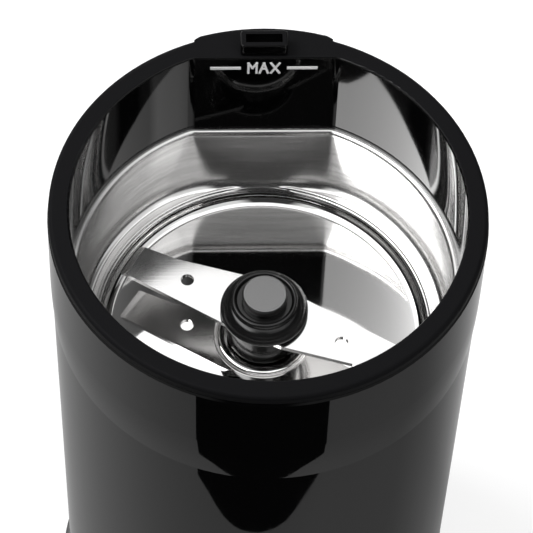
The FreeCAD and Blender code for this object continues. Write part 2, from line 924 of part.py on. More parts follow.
def upper_bracket():
    """The motor's upper end bracket with its bearing boss."""
    plate = rounded_square(bracket_half, bracket_corner, bracket_under, bracket_top)
    boss_top = bracket_top + bearing_overlap
    boss = cylinder(bearing_radius + bearing_wall, upper_boss_under, boss_top)
    body = fuse_all([plate, boss] + legs(stator_top, bracket_under))
    body = body.cut(cylinder(bearing_radius, upper_boss_under - past, boss_top + past))
    hole = damper_screw_radius + screw_clearance
    for x, y in damper_places():
        body = body.cut(cylinder(hole, bracket_under - past, bracket_top + past, x, y))
    return bolt_holes(body, stator_top - past, bracket_top - bracket_bolt_cover)


def lower_bracket():
    """The motor's lower bridge, which also holds the brush holders."""
    half = bracket_half
    plate = block((-half, half), (-leg_half_width, leg_half_width), (bar_under, bar_top))
    boss = cylinder(bearing_radius + bearing_wall, lower_boss_under, lower_boss_top)
    body = fuse_all([plate, boss] + legs(bar_top, stator_bottom))
    body = body.cut(cylinder(bearing_radius, lower_boss_under - past, lower_boss_top + past))
    tunnel = bar(holder_radius + holder_clearance, -half - past, half + past, 0.0, brush_level)
    return bolt_holes(body.cut(tunnel), bar_under - past, stator_bottom + past)


def stator_core():
    """The laminated stator: a square frame with two poles round the bore."""
    frame = rounded_square(stator_half, stator_corner, stator_bottom, stator_top)
    under = stator_bottom - past
    above = stator_top + past
    window = rounded_square(stator_window, coil_gap * 4, under, above)
    reach = stator_window + past
    pole = block((-pole_half, pole_half), (-reach, reach), (stator_bottom, stator_top))
    body = fuse_all([frame.cut(window), pole])
    body = body.cut(cylinder(stator_bore, under, above))
    return bolt_holes(body, under, above)


def field_coils():
    """Two coils, each wound round one pole of the stator."""
    half_x = pole_half + coil_gap
    half_z = stack_height / 2 + coil_gap
    wide = half_x + coil_thickness
    tall = half_z + coil_thickness
    near = coil_inner
    far = stator_window - coil_gap
    outer = block((-wide, wide), (near, far), (pole_middle - tall, pole_middle + tall))
    corners = [edge for edge in outer.Edges if edge.BoundBox.YLength > (far - near) / 2]
    outer = outer.makeFillet(coil_corner, corners)
    inner = block((-half_x, half_x), (near - past, far + past), (pole_middle - half_z, pole_middle + half_z))
    return pair(outer.cut(inner))


def bearing(bottom):
    """A sintered bush pressed into a bracket's boss."""
    return ring(shaft_radius + running_gap, bearing_radius - press_gap, bottom, bottom + bearing_length)


def stator_bolts():
    """Four long bolts that clamp both brackets to the stator."""
    length = bracket_top - bolt_end_play - bar_under
    sizes = (bolt_radius, bolt_head_radius, bolt_head_height, length)
    return [screw(*sizes, x, y, bar_under) for x, y in bolt_places()]


def brush_holders():
    """Two insulated tubes through the lower bracket's legs, square inside for the brushes."""
    tube = bar(holder_radius, holder_start, holder_end, 0.0, brush_level)
    flange = bar(holder_flange_radius, bracket_half, bracket_half + holder_flange, 0.0, brush_level)
    body = fuse_all([tube, flange])
    wide = brush_half_width + holder_clearance
    tall = brush_half_height + holder_clearance
    levels = (brush_level - tall, brush_level + tall)
    hollow = block((holder_start - past, holder_end + past), (-wide, wide), levels)
    socket = bar(plug_radius, holder_end - cap_plug_length, holder_end + past, 0.0, brush_level)
    return pair(body.cut(hollow).cut(socket))


def carbon_brushes():
    """Two carbon blocks that run on the commutator."""
    start = commutator_radius + brush_gap
    levels = (brush_level - brush_half_height, brush_level + brush_half_height)
    body = block((start, start + brush_length), (-brush_half_width, brush_half_width), levels)
    return pair(body)


def brush_springs():
    """Two small coils that press the brushes inwards."""
    start = commutator_radius + brush_gap + brush_length
    end = holder_end - cap_plug_length
    coil = coil_spring(brush_spring_radius, brush_spring_wire, brush_spring_turns, end - start)
    coil.rotate(Vector(0, 0, 0), Vector(0, 1, 0), 90)
    coil.translate(Vector(start, 0, brush_level))
    return pair(coil)


def brush_caps():
    """Two slotted plugs that close the brush holders."""
    plug = bar(plug_radius - press_gap, holder_end - cap_plug_length, holder_end, 0.0, brush_level)
    end = holder_end + cap_head
    head = bar(cap_head_radius, holder_end, end, 0.0, brush_level)
    levels = (brush_level - cap_slot_width / 2, brush_level + cap_slot_width / 2)
    slot = block((end - cap_slot_depth, end + past), (-cap_head_radius, cap_head_radius), levels)
    return pair(fuse_all([plug, head]).cut(slot))


def drive_shaft():
    """The motor shaft up into the hub."""
    bottom = lower_boss_under - shaft_below_bearing
    body = cylinder(shaft_radius, bottom, bowl_floor + shaft_top_above_floor)
    return body.makeChamfer(shaft_chamfer, flat_edges(body, bottom))


def armature_core():
    """The slotted rotor stack."""
    body = ring(shaft_radius + press_gap, armature_radius, stator_bottom, stator_top)
    half = slot_opening / 2
    levels = (stator_bottom - past, stator_top + past)
    for index in range(armature_slots):
        slot = block((slot_root_radius, armature_radius + past), (-half, half), levels)
        slot.rotate(Vector(0, 0, 0), Vector(0, 0, 1), 360 / armature_slots * index)
        body = body.cut(slot)
    return body


def armature_windings():
    """The rotor's copper: two end bundles joined through the slots."""
    inner = shaft_radius + winding_core_gap
    shortest = math.pi * (inner + winding_radius)
    ends = []
    for bottom in (stator_bottom - winding_overhang, stator_top + winding_gap):
        top = bottom + winding_overhang - winding_gap
        end = ring(inner, winding_radius, bottom, top)
        far = top if bottom > stator_bottom else bottom
        outer_edges = [edge for edge in flat_edges(end, far) if edge.Length > shortest]
        ends.append(end.makeFillet(winding_fillet, outer_edges))
    half = slot_opening / 2 - winding_gap
    reach = (slot_root_radius + winding_gap, winding_radius - winding_slot_inset)
    levels = (stator_bottom - winding_gap - past, stator_top + winding_gap + past)
    bars = []
    for index in range(armature_slots):
        wire = block(reach, (-half, half), levels)
        wire.rotate(Vector(0, 0, 0), Vector(0, 0, 1), 360 / armature_slots * index)
        bars.append(wire)
    return fuse_all(ends + bars)


def commutator():
    """The copper drum that the brushes run on, grooved between its bars."""
    body = ring(shaft_radius + press_gap, commutator_radius, commutator_bottom, commutator_top)
    half = commutator_groove / 2
    reach = (commutator_radius - commutator_groove_depth, commutator_radius + past)
    levels = (commutator_bottom - past, commutator_top + past)
    for index in range(commutator_segments):
        groove = block(reach, (-half, half), levels)
        groove.rotate(Vector(0, 0, 0), Vector(0, 0, 1), 360 / commutator_segments * (index + 0.5))
        body = body.cut(groove)
    return body


def thrust_washers():
    """Two fibre washers on the shaft beside the bearings."""
    bore = shaft_radius + press_gap
    upper_top = upper_boss_under - washer_gap
    lower_bottom = lower_boss_top + washer_gap
    return [
        ring(bore, washer_radius, upper_top - washer_thickness, upper_top),
        ring(bore, washer_radius, lower_bottom, lower_bottom + washer_thickness),
    ]


def drive_key(radius, flat, bottom, top):
    """A round boss with two flats, which turns the blade."""
    sides = block((-radius - past, radius + past), (-flat, flat), (bottom, top))
    return cylinder(radius, bottom, top).common(sides)


def hub_skirt():
    """The lower hub: a skirt over the bowl's neck and a two-flat boss for the blade."""
    bottom = bowl_floor + hub_skirt_clearance
    body = cylinder(hub_skirt_radius, bottom, blade_under)
    body = body.makeFillet(hub_skirt_fillet, flat_edges(body, bottom))
    key = drive_key(drive_radius, drive_flat, blade_under, blade_top + drive_height)
    key.rotate(Vector(0, 0, 0), Vector(0, 0, 1), blade_angle)
    body = fuse_all([body, key])
    hollow = neck_radius + hub_cavity_gap
    body = body.cut(cylinder(hollow, bottom - past, bottom + hub_cavity_height))
    return body.cut(cylinder(insert_radius, bottom, blade_top + drive_height + past))


def hub_insert():
    """The brass bush that joins the shaft, the lower hub and the cap's stem."""
    outer = insert_radius - press_gap
    top = blade_top + drive_height
    bottom = bowl_floor + hub_skirt_clearance + hub_cavity_height
    body = cylinder(outer, bottom, top)
    shaft_end = bowl_floor + shaft_top_above_floor
    body = body.cut(cylinder(shaft_radius + slide_gap, bottom - past, shaft_end))
    return body.cut(cylinder(cap_stem_radius + press_gap, bottom, top + past))


def blade():
    """The two-wing blade, tapered to bevelled tips, with a hole in each wing."""
    wing = [
        (blade_root_reach, blade_root_half),
        (blade_tip_reach + blade_tip_slant, blade_tip_long),
        (blade_tip_reach - blade_tip_slant, -blade_tip_short),
        (blade_kink_reach, -blade_kink_half),
        (blade_root_reach, -blade_root_half),
    ]
    other = [(-x, -y) for x, y in wing]
    body = outline_prism(wing + other, blade_under, blade_top)
    body = body.makeFillet(blade_tip_corner, tip_edges(body))
    bevels = pair(tip_wedge())
    body = body.cut(bevels[0]).cut(bevels[1])
    under = blade_under - past
    above = blade_top + past
    body = body.cut(drive_key(drive_radius + drive_gap, drive_flat + drive_gap, under, above))
    for x in (-blade_hole_reach, blade_hole_reach):
        body = body.cut(cylinder(blade_hole_radius, under, above, x, 0.0))
    body.rotate(Vector(0, 0, 0), Vector(0, 0, 1), blade_angle)
    return body


def tip_edges(body):
    """The upright edges at the blade's two tips."""
    halfway = (blade_kink_reach + blade_tip_reach) / 2
    return [edge for edge in upright_edges(body) if abs(edge.Vertexes[0].X) > halfway]


def tip_wedge():
    """The wedge that bevels the top of one tip."""
    slope = blade_thickness * blade_bevel_share / blade_tip_bevel
    start = blade_tip_reach - blade_tip_slant - blade_tip_bevel
    end = blade_tip_reach + blade_tip_bevel
    corners = [
        Vector(start, -blade_root_half, blade_top),
        Vector(end, -blade_root_half, blade_top),
        Vector(end, -blade_root_half, blade_top - (end - start) * slope),
    ]
    face = Part.Face(Part.makePolygon(corners + corners[:1]))
    wedge = face.extrude(Vector(0, 2 * blade_root_half, 0))
    slant = math.degrees(math.atan2(2 * blade_tip_slant, blade_tip_long + blade_tip_short))
    wedge.rotate(Vector(blade_tip_reach, 0, 0), Vector(0, 0, 1), -slant)
    return wedge


def hub_collar():
    """The upper hub over the blade: a round shoulder, a stepped ring and a seat for the cap."""
    bore = cap_stem_radius + press_gap
    full = collar_radius
    step = collar_radius - collar_step_inset
    crown = step - collar_ring_width / 2
    inner = step - collar_ring_width
    neck = cap_radius - cap_overhang
    low = blade_top
    high = collar_top
    ring_top = high - collar_ring_crown
    ring_side = high - collar_ring_drop
    groove = high - collar_groove_drop
    shoulder = (full - collar_shoulder_inset, low + collar_shoulder_height)
    slope = (step + collar_slope, high - collar_slope_drop)
    cove = (step + collar_cove, high - collar_cove_drop)
    body = revolve(
        [
            (bore, low),
            (full - collar_root_inset, low),
            ((full, low + collar_bulge_height), shoulder),
            (slope, cove),
            (step, ring_side),
            ((crown, ring_top), (inner, (ring_top + groove) / 2)),
            (step - collar_groove_inset, groove),
            (neck, groove),
            (neck, high),
            (bore, high),
        ]
    )
    top = low + drive_height + drive_gap
    socket = drive_key(drive_radius + drive_gap, drive_flat + drive_gap, low - past, top)
    socket.rotate(Vector(0, 0, 0), Vector(0, 0, 1), blade_angle)
    return body.cut(socket)


def hub_cap():
    """The satin disc on top of the hub, with a stem down into the insert."""
    disc = cylinder(cap_radius, collar_top, collar_top + cap_thickness)
    disc = disc.makeChamfer(cap_chamfer, flat_edges(disc, collar_top + cap_thickness))
    stem = cylinder(cap_stem_radius, collar_top - cap_stem_length, collar_top)
    return fuse_all([disc, stem])


def push_rod():
    """The interlock rod: a flat bar in the rear channel, a foot and a round stem."""
    upper = block((-rod_half_width, rod_half_width), (rod_front, rod_back), (foot_under, rod_top))
    foot_front = stem_y - spring_mean_radius
    foot = block((-rod_half_width, rod_half_width), (foot_front, rod_back), (foot_under, foot_top))
    ball = stem_ball_level()
    stem = cylinder(stem_radius, ball, foot_under, 0.0, stem_y)
    tip = Part.makeSphere(stem_radius, Vector(0, stem_y, ball))
    return fuse_all([upper, foot, stem, tip])


def stem_ball_level():
    """The level of the centre of the stem's round end, just clear of the lever."""
    angle = math.radians(lever_angle)
    clear = stem_radius + lever_thickness / 2 + stem_ball_clearance
    return hinge_level + (clear + lever_hinge * math.sin(angle)) / math.cos(angle)


def rod_spring():
    """The coil that returns the rod, between the bracket's shelf and the rod's foot."""
    coil = coil_spring(spring_mean_radius, spring_wire_radius, spring_turns, foot_under - shelf_top)
    coil.translate(Vector(0, stem_y, shelf_top))
    return coil


def switch_bracket():
    """The folded steel bracket under the cradle, with a shelf for the spring."""
    back = bracket_face - sheet
    half = bracket_width_half
    plate = block((-half, half), (back, bracket_face), (bracket_low, cradle_under))
    front = bracket_face - bracket_flange
    flange = block((-half, half), (front, back), (cradle_under - sheet, cradle_under))
    shelf_end = stem_y + spring_mean_radius + spring_wire_radius + shelf_margin
    wide = shelf_half_width
    shelf = block((-wide, wide), (bracket_face, shelf_end), (shelf_under, shelf_top))
    body = fuse_all([plate, flange, shelf])
    hole = stem_radius + stem_hole_gap
    body = body.cut(cylinder(hole, shelf_under - past, shelf_top + past, 0.0, stem_y))
    hole = bracket_screw_radius + screw_clearance
    for x in (-bracket_screw_x, bracket_screw_x):
        under = cradle_under - sheet - past
        body = body.cut(cylinder(hole, under, cradle_under + past, x, bracket_screw_y))
    hole = switch_screw_radius + screw_clearance
    along = Vector(0, 1, 0)
    for x in switch_screw_places():
        place = Vector(x, back - past, switch_screw_level)
        body = body.cut(Part.makeCylinder(hole, sheet + past * 2, place, along))
    return body


def switch_screw_places():
    """The x of the two screws that hold the switch."""
    return (switch_middle_x - switch_screw_x, switch_middle_x + switch_screw_x)


def bracket_screws():
    """Two screws that hold the switch bracket under the cradle."""
    length = sheet + cradle_floor - bracket_screw_play
    sizes = (bracket_screw_radius, bracket_screw_head, bracket_screw_head_height, length)
    seat = cradle_under - sheet
    return [screw(*sizes, x, bracket_screw_y, seat) for x in (-bracket_screw_x, bracket_screw_x)]


def switch_body():
    """The microswitch's case, with two ears for the lever and a bore for the button."""
    depth = (switch_front, switch_front + switch_depth)
    case = block((-switch_left, switch_right), depth, (switch_under, switch_top))
    case = case.makeFillet(switch_corner, upright_edges(case))
    across = (-switch_left + switch_pad_inset, switch_right - switch_pad_inset)
    levels = (switch_under + switch_pad_margin, switch_top - switch_pad_margin)
    pad = block(across, (bracket_face, switch_front), levels)
    across = (-lever_hinge - ear_half_width, -lever_hinge + ear_half_width)
    levels = (switch_top - ear_root, hinge_level + ear_half_width)
    thin = ear_thickness / 2
    ears = [block(across, (y - thin, y + thin), levels) for y in ear_places()]
    body = fuse_all([case, pad] + ears)
    along = Vector(0, 1, 0)
    hole = switch_screw_radius + screw_clearance
    reach = switch_gap + switch_depth + past * 2
    for x in switch_screw_places():
        place = Vector(x, bracket_face - past, switch_screw_level)
        body = body.cut(Part.makeCylinder(hole, reach, place, along))
    place = Vector(-lever_hinge, switch_front, hinge_level)
    body = body.cut(Part.makeCylinder(lever_pin_radius, switch_depth, place, along))
    bottom = switch_top - button_length - button_travel
    bore = button_radius + button_bore_gap
    return body.cut(cylinder(bore, bottom, switch_top + past, button_place(), stem_y))


def ear_places():
    """The y of the two ears beside the lever."""
    half = lever_width / 2 + ear_gap + ear_thickness / 2
    return (stem_y - half, stem_y + half)


def button_place():
    """The x of the switch's button, a short way along the lever."""
    return -lever_hinge + button_reach


def lever_pin():
    """The pin that the lever turns on."""
    near, far = ear_places()
    start = Vector(-lever_hinge, near - ear_thickness / 2, hinge_level)
    length = far - near + ear_thickness
    return Part.makeCylinder(lever_pin_radius - press_gap, length, start, Vector(0, 1, 0))


def switch_lever():
    """The switch's sprung lever, raised at rest."""
    half = lever_width / 2
    strip = block((0, lever_reach), (-half, half), (-lever_thickness / 2, lever_thickness / 2))
    along = Vector(0, 1, 0)
    eye = Part.makeCylinder(lever_eye_radius, lever_width, Vector(0, -half, 0), along)
    start = Vector(0, -half - past, 0)
    hole = Part.makeCylinder(lever_pin_radius + lever_pin_gap, lever_width + past * 2, start, along)
    body = fuse_all([strip, eye]).cut(hole)
    body.rotate(Vector(0, 0, 0), Vector(0, 1, 0), -lever_angle)
    body.translate(Vector(-lever_hinge, stem_y, hinge_level))
    return body


def switch_button():
    """The switch's small button under the lever."""
    top = hinge_level - lever_thickness / 2 - button_gap + button_travel
    body = cylinder(button_radius, switch_top - button_length, top, button_place(), stem_y)
    return body.makeFillet(button_fillet, flat_edges(body, top))


def switch_screws():
    """Two screws through the switch into its bracket."""
    screws = []
    back = bracket_face - sheet
    outer = switch_front + switch_depth
    along = Vector(0, 1, 0)
    for x in switch_screw_places():
        start = Vector(x, back, switch_screw_level)
        shank = Part.makeCylinder(switch_screw_radius, outer - back, start, along)
        seat = Vector(x, outer, switch_screw_level)
        head = Part.makeCylinder(switch_screw_head, switch_screw_head_height, seat, along)
        screws.append(fuse_all([shank, head]))
    return screws


def switch_terminals():
    """Three blade terminals under the switch."""
    tabs = []
    y = switch_front + switch_depth / 2
    half = terminal_width / 2
    thin = terminal_thickness / 2
    levels = (switch_under - terminal_length, switch_under)
    for index in (-1, 0, 1):
        x = switch_middle_x + index * terminal_pitch
        tabs.append(block((x - thin, x + thin), (y - half, y + half), levels))
    return tabs


def terminal_block():
    """The screw block on the base plate where the cord's wires end."""
    half_x = wire_block_width / 2
    half_y = wire_block_depth / 2
    top = plate_top + wire_block_height
    middle = (plate_top + top) / 2
    body = block((-half_x, half_x), (wire_block_y - half_y, wire_block_y + half_y), (plate_top, top))
    pitch = wire_block_width / wire_block_ways
    level = plate_top + wire_block_height * wire_block_tunnel_share
    for index in range(wire_block_ways):
        x = (index - (wire_block_ways - 1) / 2) * pitch
        body = body.cut(cylinder(wire_block_screw_radius, middle, top + past, x, wire_block_y))
        start = Vector(x, wire_block_y - half_y - past, level)
        length = wire_block_depth + past * 2
        body = body.cut(Part.makeCylinder(wire_block_tunnel_radius, length, start, Vector(0, 1, 0)))
    return body


def parts():
    """Every sub-part by its name, as one shape or a list of separate solids."""
    return {
        "rim_collar": rim_collar(),
        "max_mark": max_mark(),
        "body_shell": body_shell(),
        "base_ring": base_ring(),
        "base_plate": base_plate(),
        "rubber_feet": rubber_feet(),
        "base_screws": base_screws(),
        "cord_bush": cord_bush(),
        "bowl": bowl(),
        "bowl_gasket": bowl_gasket(),
        "shaft_seal": shaft_seal(),
        "bowl_cradle": bowl_cradle(),
        "rubber_dampers": rubber_dampers(),
        "damper_screws": damper_screws(),
        "upper_bracket": upper_bracket(),
        "lower_bracket": lower_bracket(),
        "upper_bearing": bearing(upper_boss_under),
        "lower_bearing": bearing(lower_boss_under),
        "stator_core": stator_core(),
        "field_coils": field_coils(),
        "stator_bolts": stator_bolts(),
        "brush_holders": brush_holders(),
        "carbon_brushes": carbon_brushes(),
        "brush_springs": brush_springs(),
        "brush_caps": brush_caps(),
        "terminal_block": terminal_block(),
        "drive_shaft": drive_shaft(),
        "armature_core": armature_core(),
        "armature_windings": armature_windings(),
        "commutator": commutator(),
        "thrust_washers": thrust_washers(),
        "hub_skirt": hub_skirt(),
        "hub_insert": hub_insert(),
        "blade": blade(),
        "hub_collar": hub_collar(),
        "hub_cap": hub_cap(),
        "push_rod": push_rod(),
        "rod_spring": rod_spring(),
        "switch_bracket": switch_bracket(),
        "bracket_screws": bracket_screws(),
        "switch_body": switch_body(),
        "switch_screws": switch_screws(),
        "switch_terminals": switch_terminals(),
        "lever_pin": lever_pin(),
        "switch_lever": switch_lever(),
        "switch_button": switch_button(),
    }


os.makedirs("parts", exist_ok=True)
for name, shape in parts().items():
    solid = Part.makeCompound(shape) if isinstance(shape, list) else shape
    solid.exportStep(os.path.join("parts", name + ".step"))
    print(name, len(solid.Solids), round(solid.Volume, 2), solid.isValid())
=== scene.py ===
"""Electric spice grinder with its lid off: finishes, small visual pieces, studio and camera.

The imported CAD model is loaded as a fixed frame, in metres, with +Z up, the rear of the body
along +Y and the centre of the base on the floor at the origin.
"""

import json
import logging
import math
from collections.abc import Callable
from dataclasses import dataclass, field
from enum import Enum

import bmesh
import bpy
from mathutils import Matrix, Vector


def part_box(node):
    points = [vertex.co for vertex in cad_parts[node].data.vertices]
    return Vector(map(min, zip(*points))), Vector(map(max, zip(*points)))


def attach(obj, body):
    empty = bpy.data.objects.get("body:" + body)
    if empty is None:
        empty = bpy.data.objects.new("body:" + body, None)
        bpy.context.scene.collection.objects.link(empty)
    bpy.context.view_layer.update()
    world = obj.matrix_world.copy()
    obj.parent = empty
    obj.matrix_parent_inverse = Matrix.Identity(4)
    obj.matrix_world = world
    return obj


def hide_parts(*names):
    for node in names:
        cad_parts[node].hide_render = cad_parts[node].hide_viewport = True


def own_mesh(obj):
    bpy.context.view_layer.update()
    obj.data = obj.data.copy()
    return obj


logging.basicConfig(level=logging.INFO, format="%(message)s")
log = logging.getLogger("spice_grinder")

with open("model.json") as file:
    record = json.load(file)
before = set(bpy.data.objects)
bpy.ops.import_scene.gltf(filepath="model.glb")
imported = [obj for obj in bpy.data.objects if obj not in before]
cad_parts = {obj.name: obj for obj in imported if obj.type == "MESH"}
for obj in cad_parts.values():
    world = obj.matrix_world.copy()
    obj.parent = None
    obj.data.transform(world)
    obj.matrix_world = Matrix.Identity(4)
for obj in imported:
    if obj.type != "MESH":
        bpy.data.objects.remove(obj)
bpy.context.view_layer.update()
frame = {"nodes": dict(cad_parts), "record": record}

Colour = tuple[float, float, float]
Point = tuple[float, float]
Ring = Callable[[float], Point]
Socket = bpy.types.NodeSocket
Value = Socket | float

MM = 0.001
TO_DEGREES = 180.0 / math.pi
# How far apart a wave texture's lines are at scale 1.
WAVE_SCALE = 0.31
# How far the interlock's block stands above the rim.
BLOCK_HEIGHT = 3.5 * MM
BOWL_SHEET = 0.8 * MM
RIM_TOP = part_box("rim_collar")[1][2] - BLOCK_HEIGHT
LIP_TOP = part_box("bowl")[1][2]
BOWL_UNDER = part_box("bowl")[0][2]
BOWL_FLOOR = BOWL_UNDER + BOWL_SHEET


class Body(Enum):
    """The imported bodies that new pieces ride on."""

    HOUSING = "housing"


class Coordinate(Enum):
    """The outputs of the texture coordinate node that the finishes read."""

    OBJECT = "Object"
    GENERATED = "Generated"


class Tree:
    """A short way to add and join nodes in one material or world."""

    def __init__(self, owner: bpy.types.ID) -> None:
        """Start with an empty tree.

        Args:
            owner: the material or world whose nodes are made.
        """
        owner.use_nodes = True
        self.tree = owner.node_tree
        self.tree.nodes.clear()

    def add(self, kind: str, inputs: dict | None = None, **settings: object) -> bpy.types.Node:
        """Add one node.

        Args:
            kind: the node's type name.
            inputs: values or output sockets by input name or index.
            settings: properties of the node itself.

        Returns:
            The new node.
        """
        node = self.tree.nodes.new(kind)
        for name, value in settings.items():
            setattr(node, name, value)
        for key, value in (inputs or {}).items():
            if isinstance(value, Socket):
                self.tree.links.new(value, node.inputs[key])
            else:
                node.inputs[key].default_value = value
        return node

    def where(self, kind: Coordinate) -> Socket:
        """The place that a finish or the surroundings are read at.

        Args:
            kind: which of the coordinate node's outputs.

        Returns:
            The place.
        """
        return self.add("ShaderNodeTexCoord").outputs[kind.value]

    def place(self, scale: Colour = (1.0, 1.0, 1.0), turn: Colour = (0.0, 0.0, 0.0)) -> Socket:
        """The object's own coordinates, stretched and turned.

        Args:
            scale: the stretch along each axis.
            turn: the rotation in radians.

        Returns:
            The mapped vector.
        """
        wanted = {"Vector": self.where(Coordinate.OBJECT), "Scale": scale, "Rotation": turn}
        return self.add("ShaderNodeMapping", wanted).outputs[0]

    def axis(self, index: int) -> Socket:
        """One of the object's own coordinates.

        Args:
            index: 0 for X, 1 for Y and 2 for Z.

        Returns:
            The coordinate, in metres.
        """
        return self.add("ShaderNodeSeparateXYZ", {0: self.where(Coordinate.OBJECT)}).outputs[index]

    def radius(self) -> Socket:
        """The distance from the upright axis, in metres."""
        source = self.where(Coordinate.OBJECT)
        flat = self.add("ShaderNodeVectorMath", {0: source, 1: (1.0, 1.0, 0.0)}, operation="MULTIPLY")
        return self.add("ShaderNodeVectorMath", {0: flat.outputs[0]}, operation="LENGTH").outputs["Value"]

    def angle(self) -> Socket:
        """The angle round the upright axis, in radians."""
        parts = self.add("ShaderNodeSeparateXYZ", {0: self.where(Coordinate.OBJECT)})
        return self.math("ARCTAN2", parts.outputs[1], parts.outputs[0])

    def rings(self, scale: float) -> Socket:
        """Noise in rings round the upright axis.

        Args:
            scale: rings to the metre.

        Returns:
            The noise.
        """
        return self.noise(self.add("ShaderNodeCombineXYZ", {0: self.radius()}).outputs[0], scale)

    def math(self, operation: str, first: Value, second: Value = 0.0, third: Value = 0.0) -> Socket:
        """The result of one sum.

        Args:
            operation: the sum's name.
            first: a socket or number.
            second: a socket or number.
            third: a socket or number.

        Returns:
            The result.
        """
        return self.add("ShaderNodeMath", {0: first, 1: second, 2: third}, operation=operation).outputs[0]

    def noise(self, vector: Socket, scale: float, detail: float = 3.0) -> Socket:
        """A noise value from 0 to 1.

        Args:
            vector: where the noise is read.
            scale: cells to the metre.
            detail: octaves of finer noise.

        Returns:
            The noise.
        """
        wanted = {"Vector": vector, "Scale": scale, "Detail": detail}
        return self.add("ShaderNodeTexNoise", wanted).outputs["Fac"]

    def spread(self, value: Socket, source: Point, target: Point) -> Socket:
        """A value moved from one range to another and held inside it.

        Args:
            value: the socket to move.
            source: the range it is read over.
            target: the range it ends in.

        Returns:
            The moved value.
        """
        wanted = {"Value": value, "From Min": source[0], "From Max": source[1]}
        wanted |= {"To Min": target[0], "To Max": target[1]}
        return self.add("ShaderNodeMapRange", wanted, clamp=True).outputs[0]

    def mix(self, share: Value, first: Value, second: Value) -> Socket:
        """A number between two others.

        Args:
            share: 0 for the first number and 1 for the second.
            first: a socket or number.
            second: a socket or number.

        Returns:
            The mixed number.
        """
        return self.add("ShaderNodeMix", {0: share, 2: first, 3: second}, data_type="FLOAT").outputs[0]

    def blend(self, share: Value, first: Socket | Colour, second: Socket | Colour) -> Socket:
        """A colour between two others.

        Args:
            share: 0 for the first colour and 1 for the second.
            first: a colour or socket.
            second: a colour or socket.

        Returns:
            The mixed colour.
        """
        colours = [value if isinstance(value, Socket) else (*value, 1.0) for value in (first, second)]
        node = self.add("ShaderNodeMix", {0: share, 6: colours[0], 7: colours[1]}, data_type="RGBA")
        return node.outputs[2]

    def bump(self, height: Socket, distance: float, strength: float = 1.0) -> Socket:
        """A surface direction tilted by a height.

        Args:
            height: the height, from 0 to 1.
            distance: the height's real size in metres.
            strength: how much of it shows.

        Returns:
            The tilted direction.
        """
        wanted = {"Height": height, "Distance": distance, "Strength": strength}
        return self.add("ShaderNodeBump", wanted).outputs[0]

    def shade(self, inputs: dict) -> None:
        """Finish the tree with one physical shader.

        Args:
            inputs: values or sockets of the shader by name.
        """
        shader = self.add("ShaderNodeBsdfPrincipled", inputs)
        self.add("ShaderNodeOutputMaterial", {"Surface": shader.outputs[0]})


def dimmed(colour: Colour, share: float) -> Colour:
    """A colour made darker.

    Args:
        colour: the colour.
        share: how much of its brightness stays.

    Returns:
        The darker colour.
    """
    return tuple(part * share for part in colour)


@dataclass(frozen=True)
class Finish:
    """A finish that one record slot has on the real object."""

    slot: str

    def paint(self, tree: Tree) -> None:
        """Add the finish's nodes."""
        raise NotImplementedError

    def material(self) -> bpy.types.Material:
        """The finish as a material, made once."""
        name = "finish_" + self.slot
        found = bpy.data.materials.get(name)
        if found is None:
            found = bpy.data.materials.new(name)
            self.paint(Tree(found))
        return found


@dataclass(frozen=True)
class GlossPlastic(Finish):
    """Polished black moulding with the faint waves and hairlines of a handled surface."""

    colour: Colour = (0.0008, 0.0008, 0.0009)
    bounce: float = 1.23
    smooth: float = 0.025
    rubbed: float = 0.06
    wave: float = 0.000004
    handled: Colour = (0.0012, 0.0012, 0.0013)

    def paint(self, tree: Tree) -> None:
        """Add the finish's nodes."""
        hairs = tree.noise(tree.place((1.0, 1.0, 0.15)), 900.0, 4.0)
        handled = tree.noise(tree.place(), 28.0, 3.0)
        rubbed = tree.math("MULTIPLY", tree.spread(hairs, (0.45, 0.8), (0.0, 1.0)), handled)
        tone = tree.blend(tree.spread(handled, (0.3, 0.7), (0.0, 1.0)), self.colour, self.handled)
        tree.shade(
            {
                "Base Color": tone,
                "Roughness": tree.spread(rubbed, (0.0, 0.6), (self.smooth, self.rubbed)),
                "IOR": self.bounce,
                "Normal": tree.bump(tree.noise(tree.place(), 60.0, 1.0), self.wave),
            }
        )


@dataclass(frozen=True)
class RimPlastic(Finish):
    """Black moulding of the rim: matt with a fine grain, or polished as in the cavity."""

    colour: Colour = (0.0036, 0.0036, 0.004)
    bounce: float = 1.13
    rough: float = 0.5
    vary: float = 0.05
    grain: float = 0.00003

    def paint(self, tree: Tree) -> None:
        """Add the finish's nodes."""
        worn = tree.noise(tree.place(), 45.0, 3.0)
        tree.shade(
            {
                "Base Color": tree.blend(worn, dimmed(self.colour, 0.9), self.colour),
                "Roughness": tree.spread(worn, (0.3, 0.7), (self.rough, self.rough + self.vary)),
                "IOR": self.bounce,
                "Normal": tree.bump(tree.noise(tree.place(), 2600.0, 2.0), self.grain, 0.5),
            }
        )


@dataclass(frozen=True)
class MouldedPlastic(Finish):
    """Plain moulding with a fine spark-eroded grain and slightly uneven sheen."""

    colour: Colour = (0.02, 0.02, 0.02)
    rough: float = 0.45
    grain: float = 0.00002
    grain_scale: float = 1800.0
    bounce: float = 1.45

    def paint(self, tree: Tree) -> None:
        """Add the finish's nodes."""
        patches = tree.noise(tree.place(), 60.0, 3.0)
        darker = dimmed(self.colour, 0.8)
        tree.shade(
            {
                "Base Color": tree.blend(tree.spread(patches, (0.3, 0.7), (0.0, 1.0)), darker, self.colour),
                "Roughness": tree.spread(patches, (0.2, 0.8), (self.rough - 0.06, self.rough + 0.06)),
                "IOR": self.bounce,
                "Normal": tree.bump(tree.noise(tree.place(), self.grain_scale, 2.0), self.grain, 0.6),
            }
        )


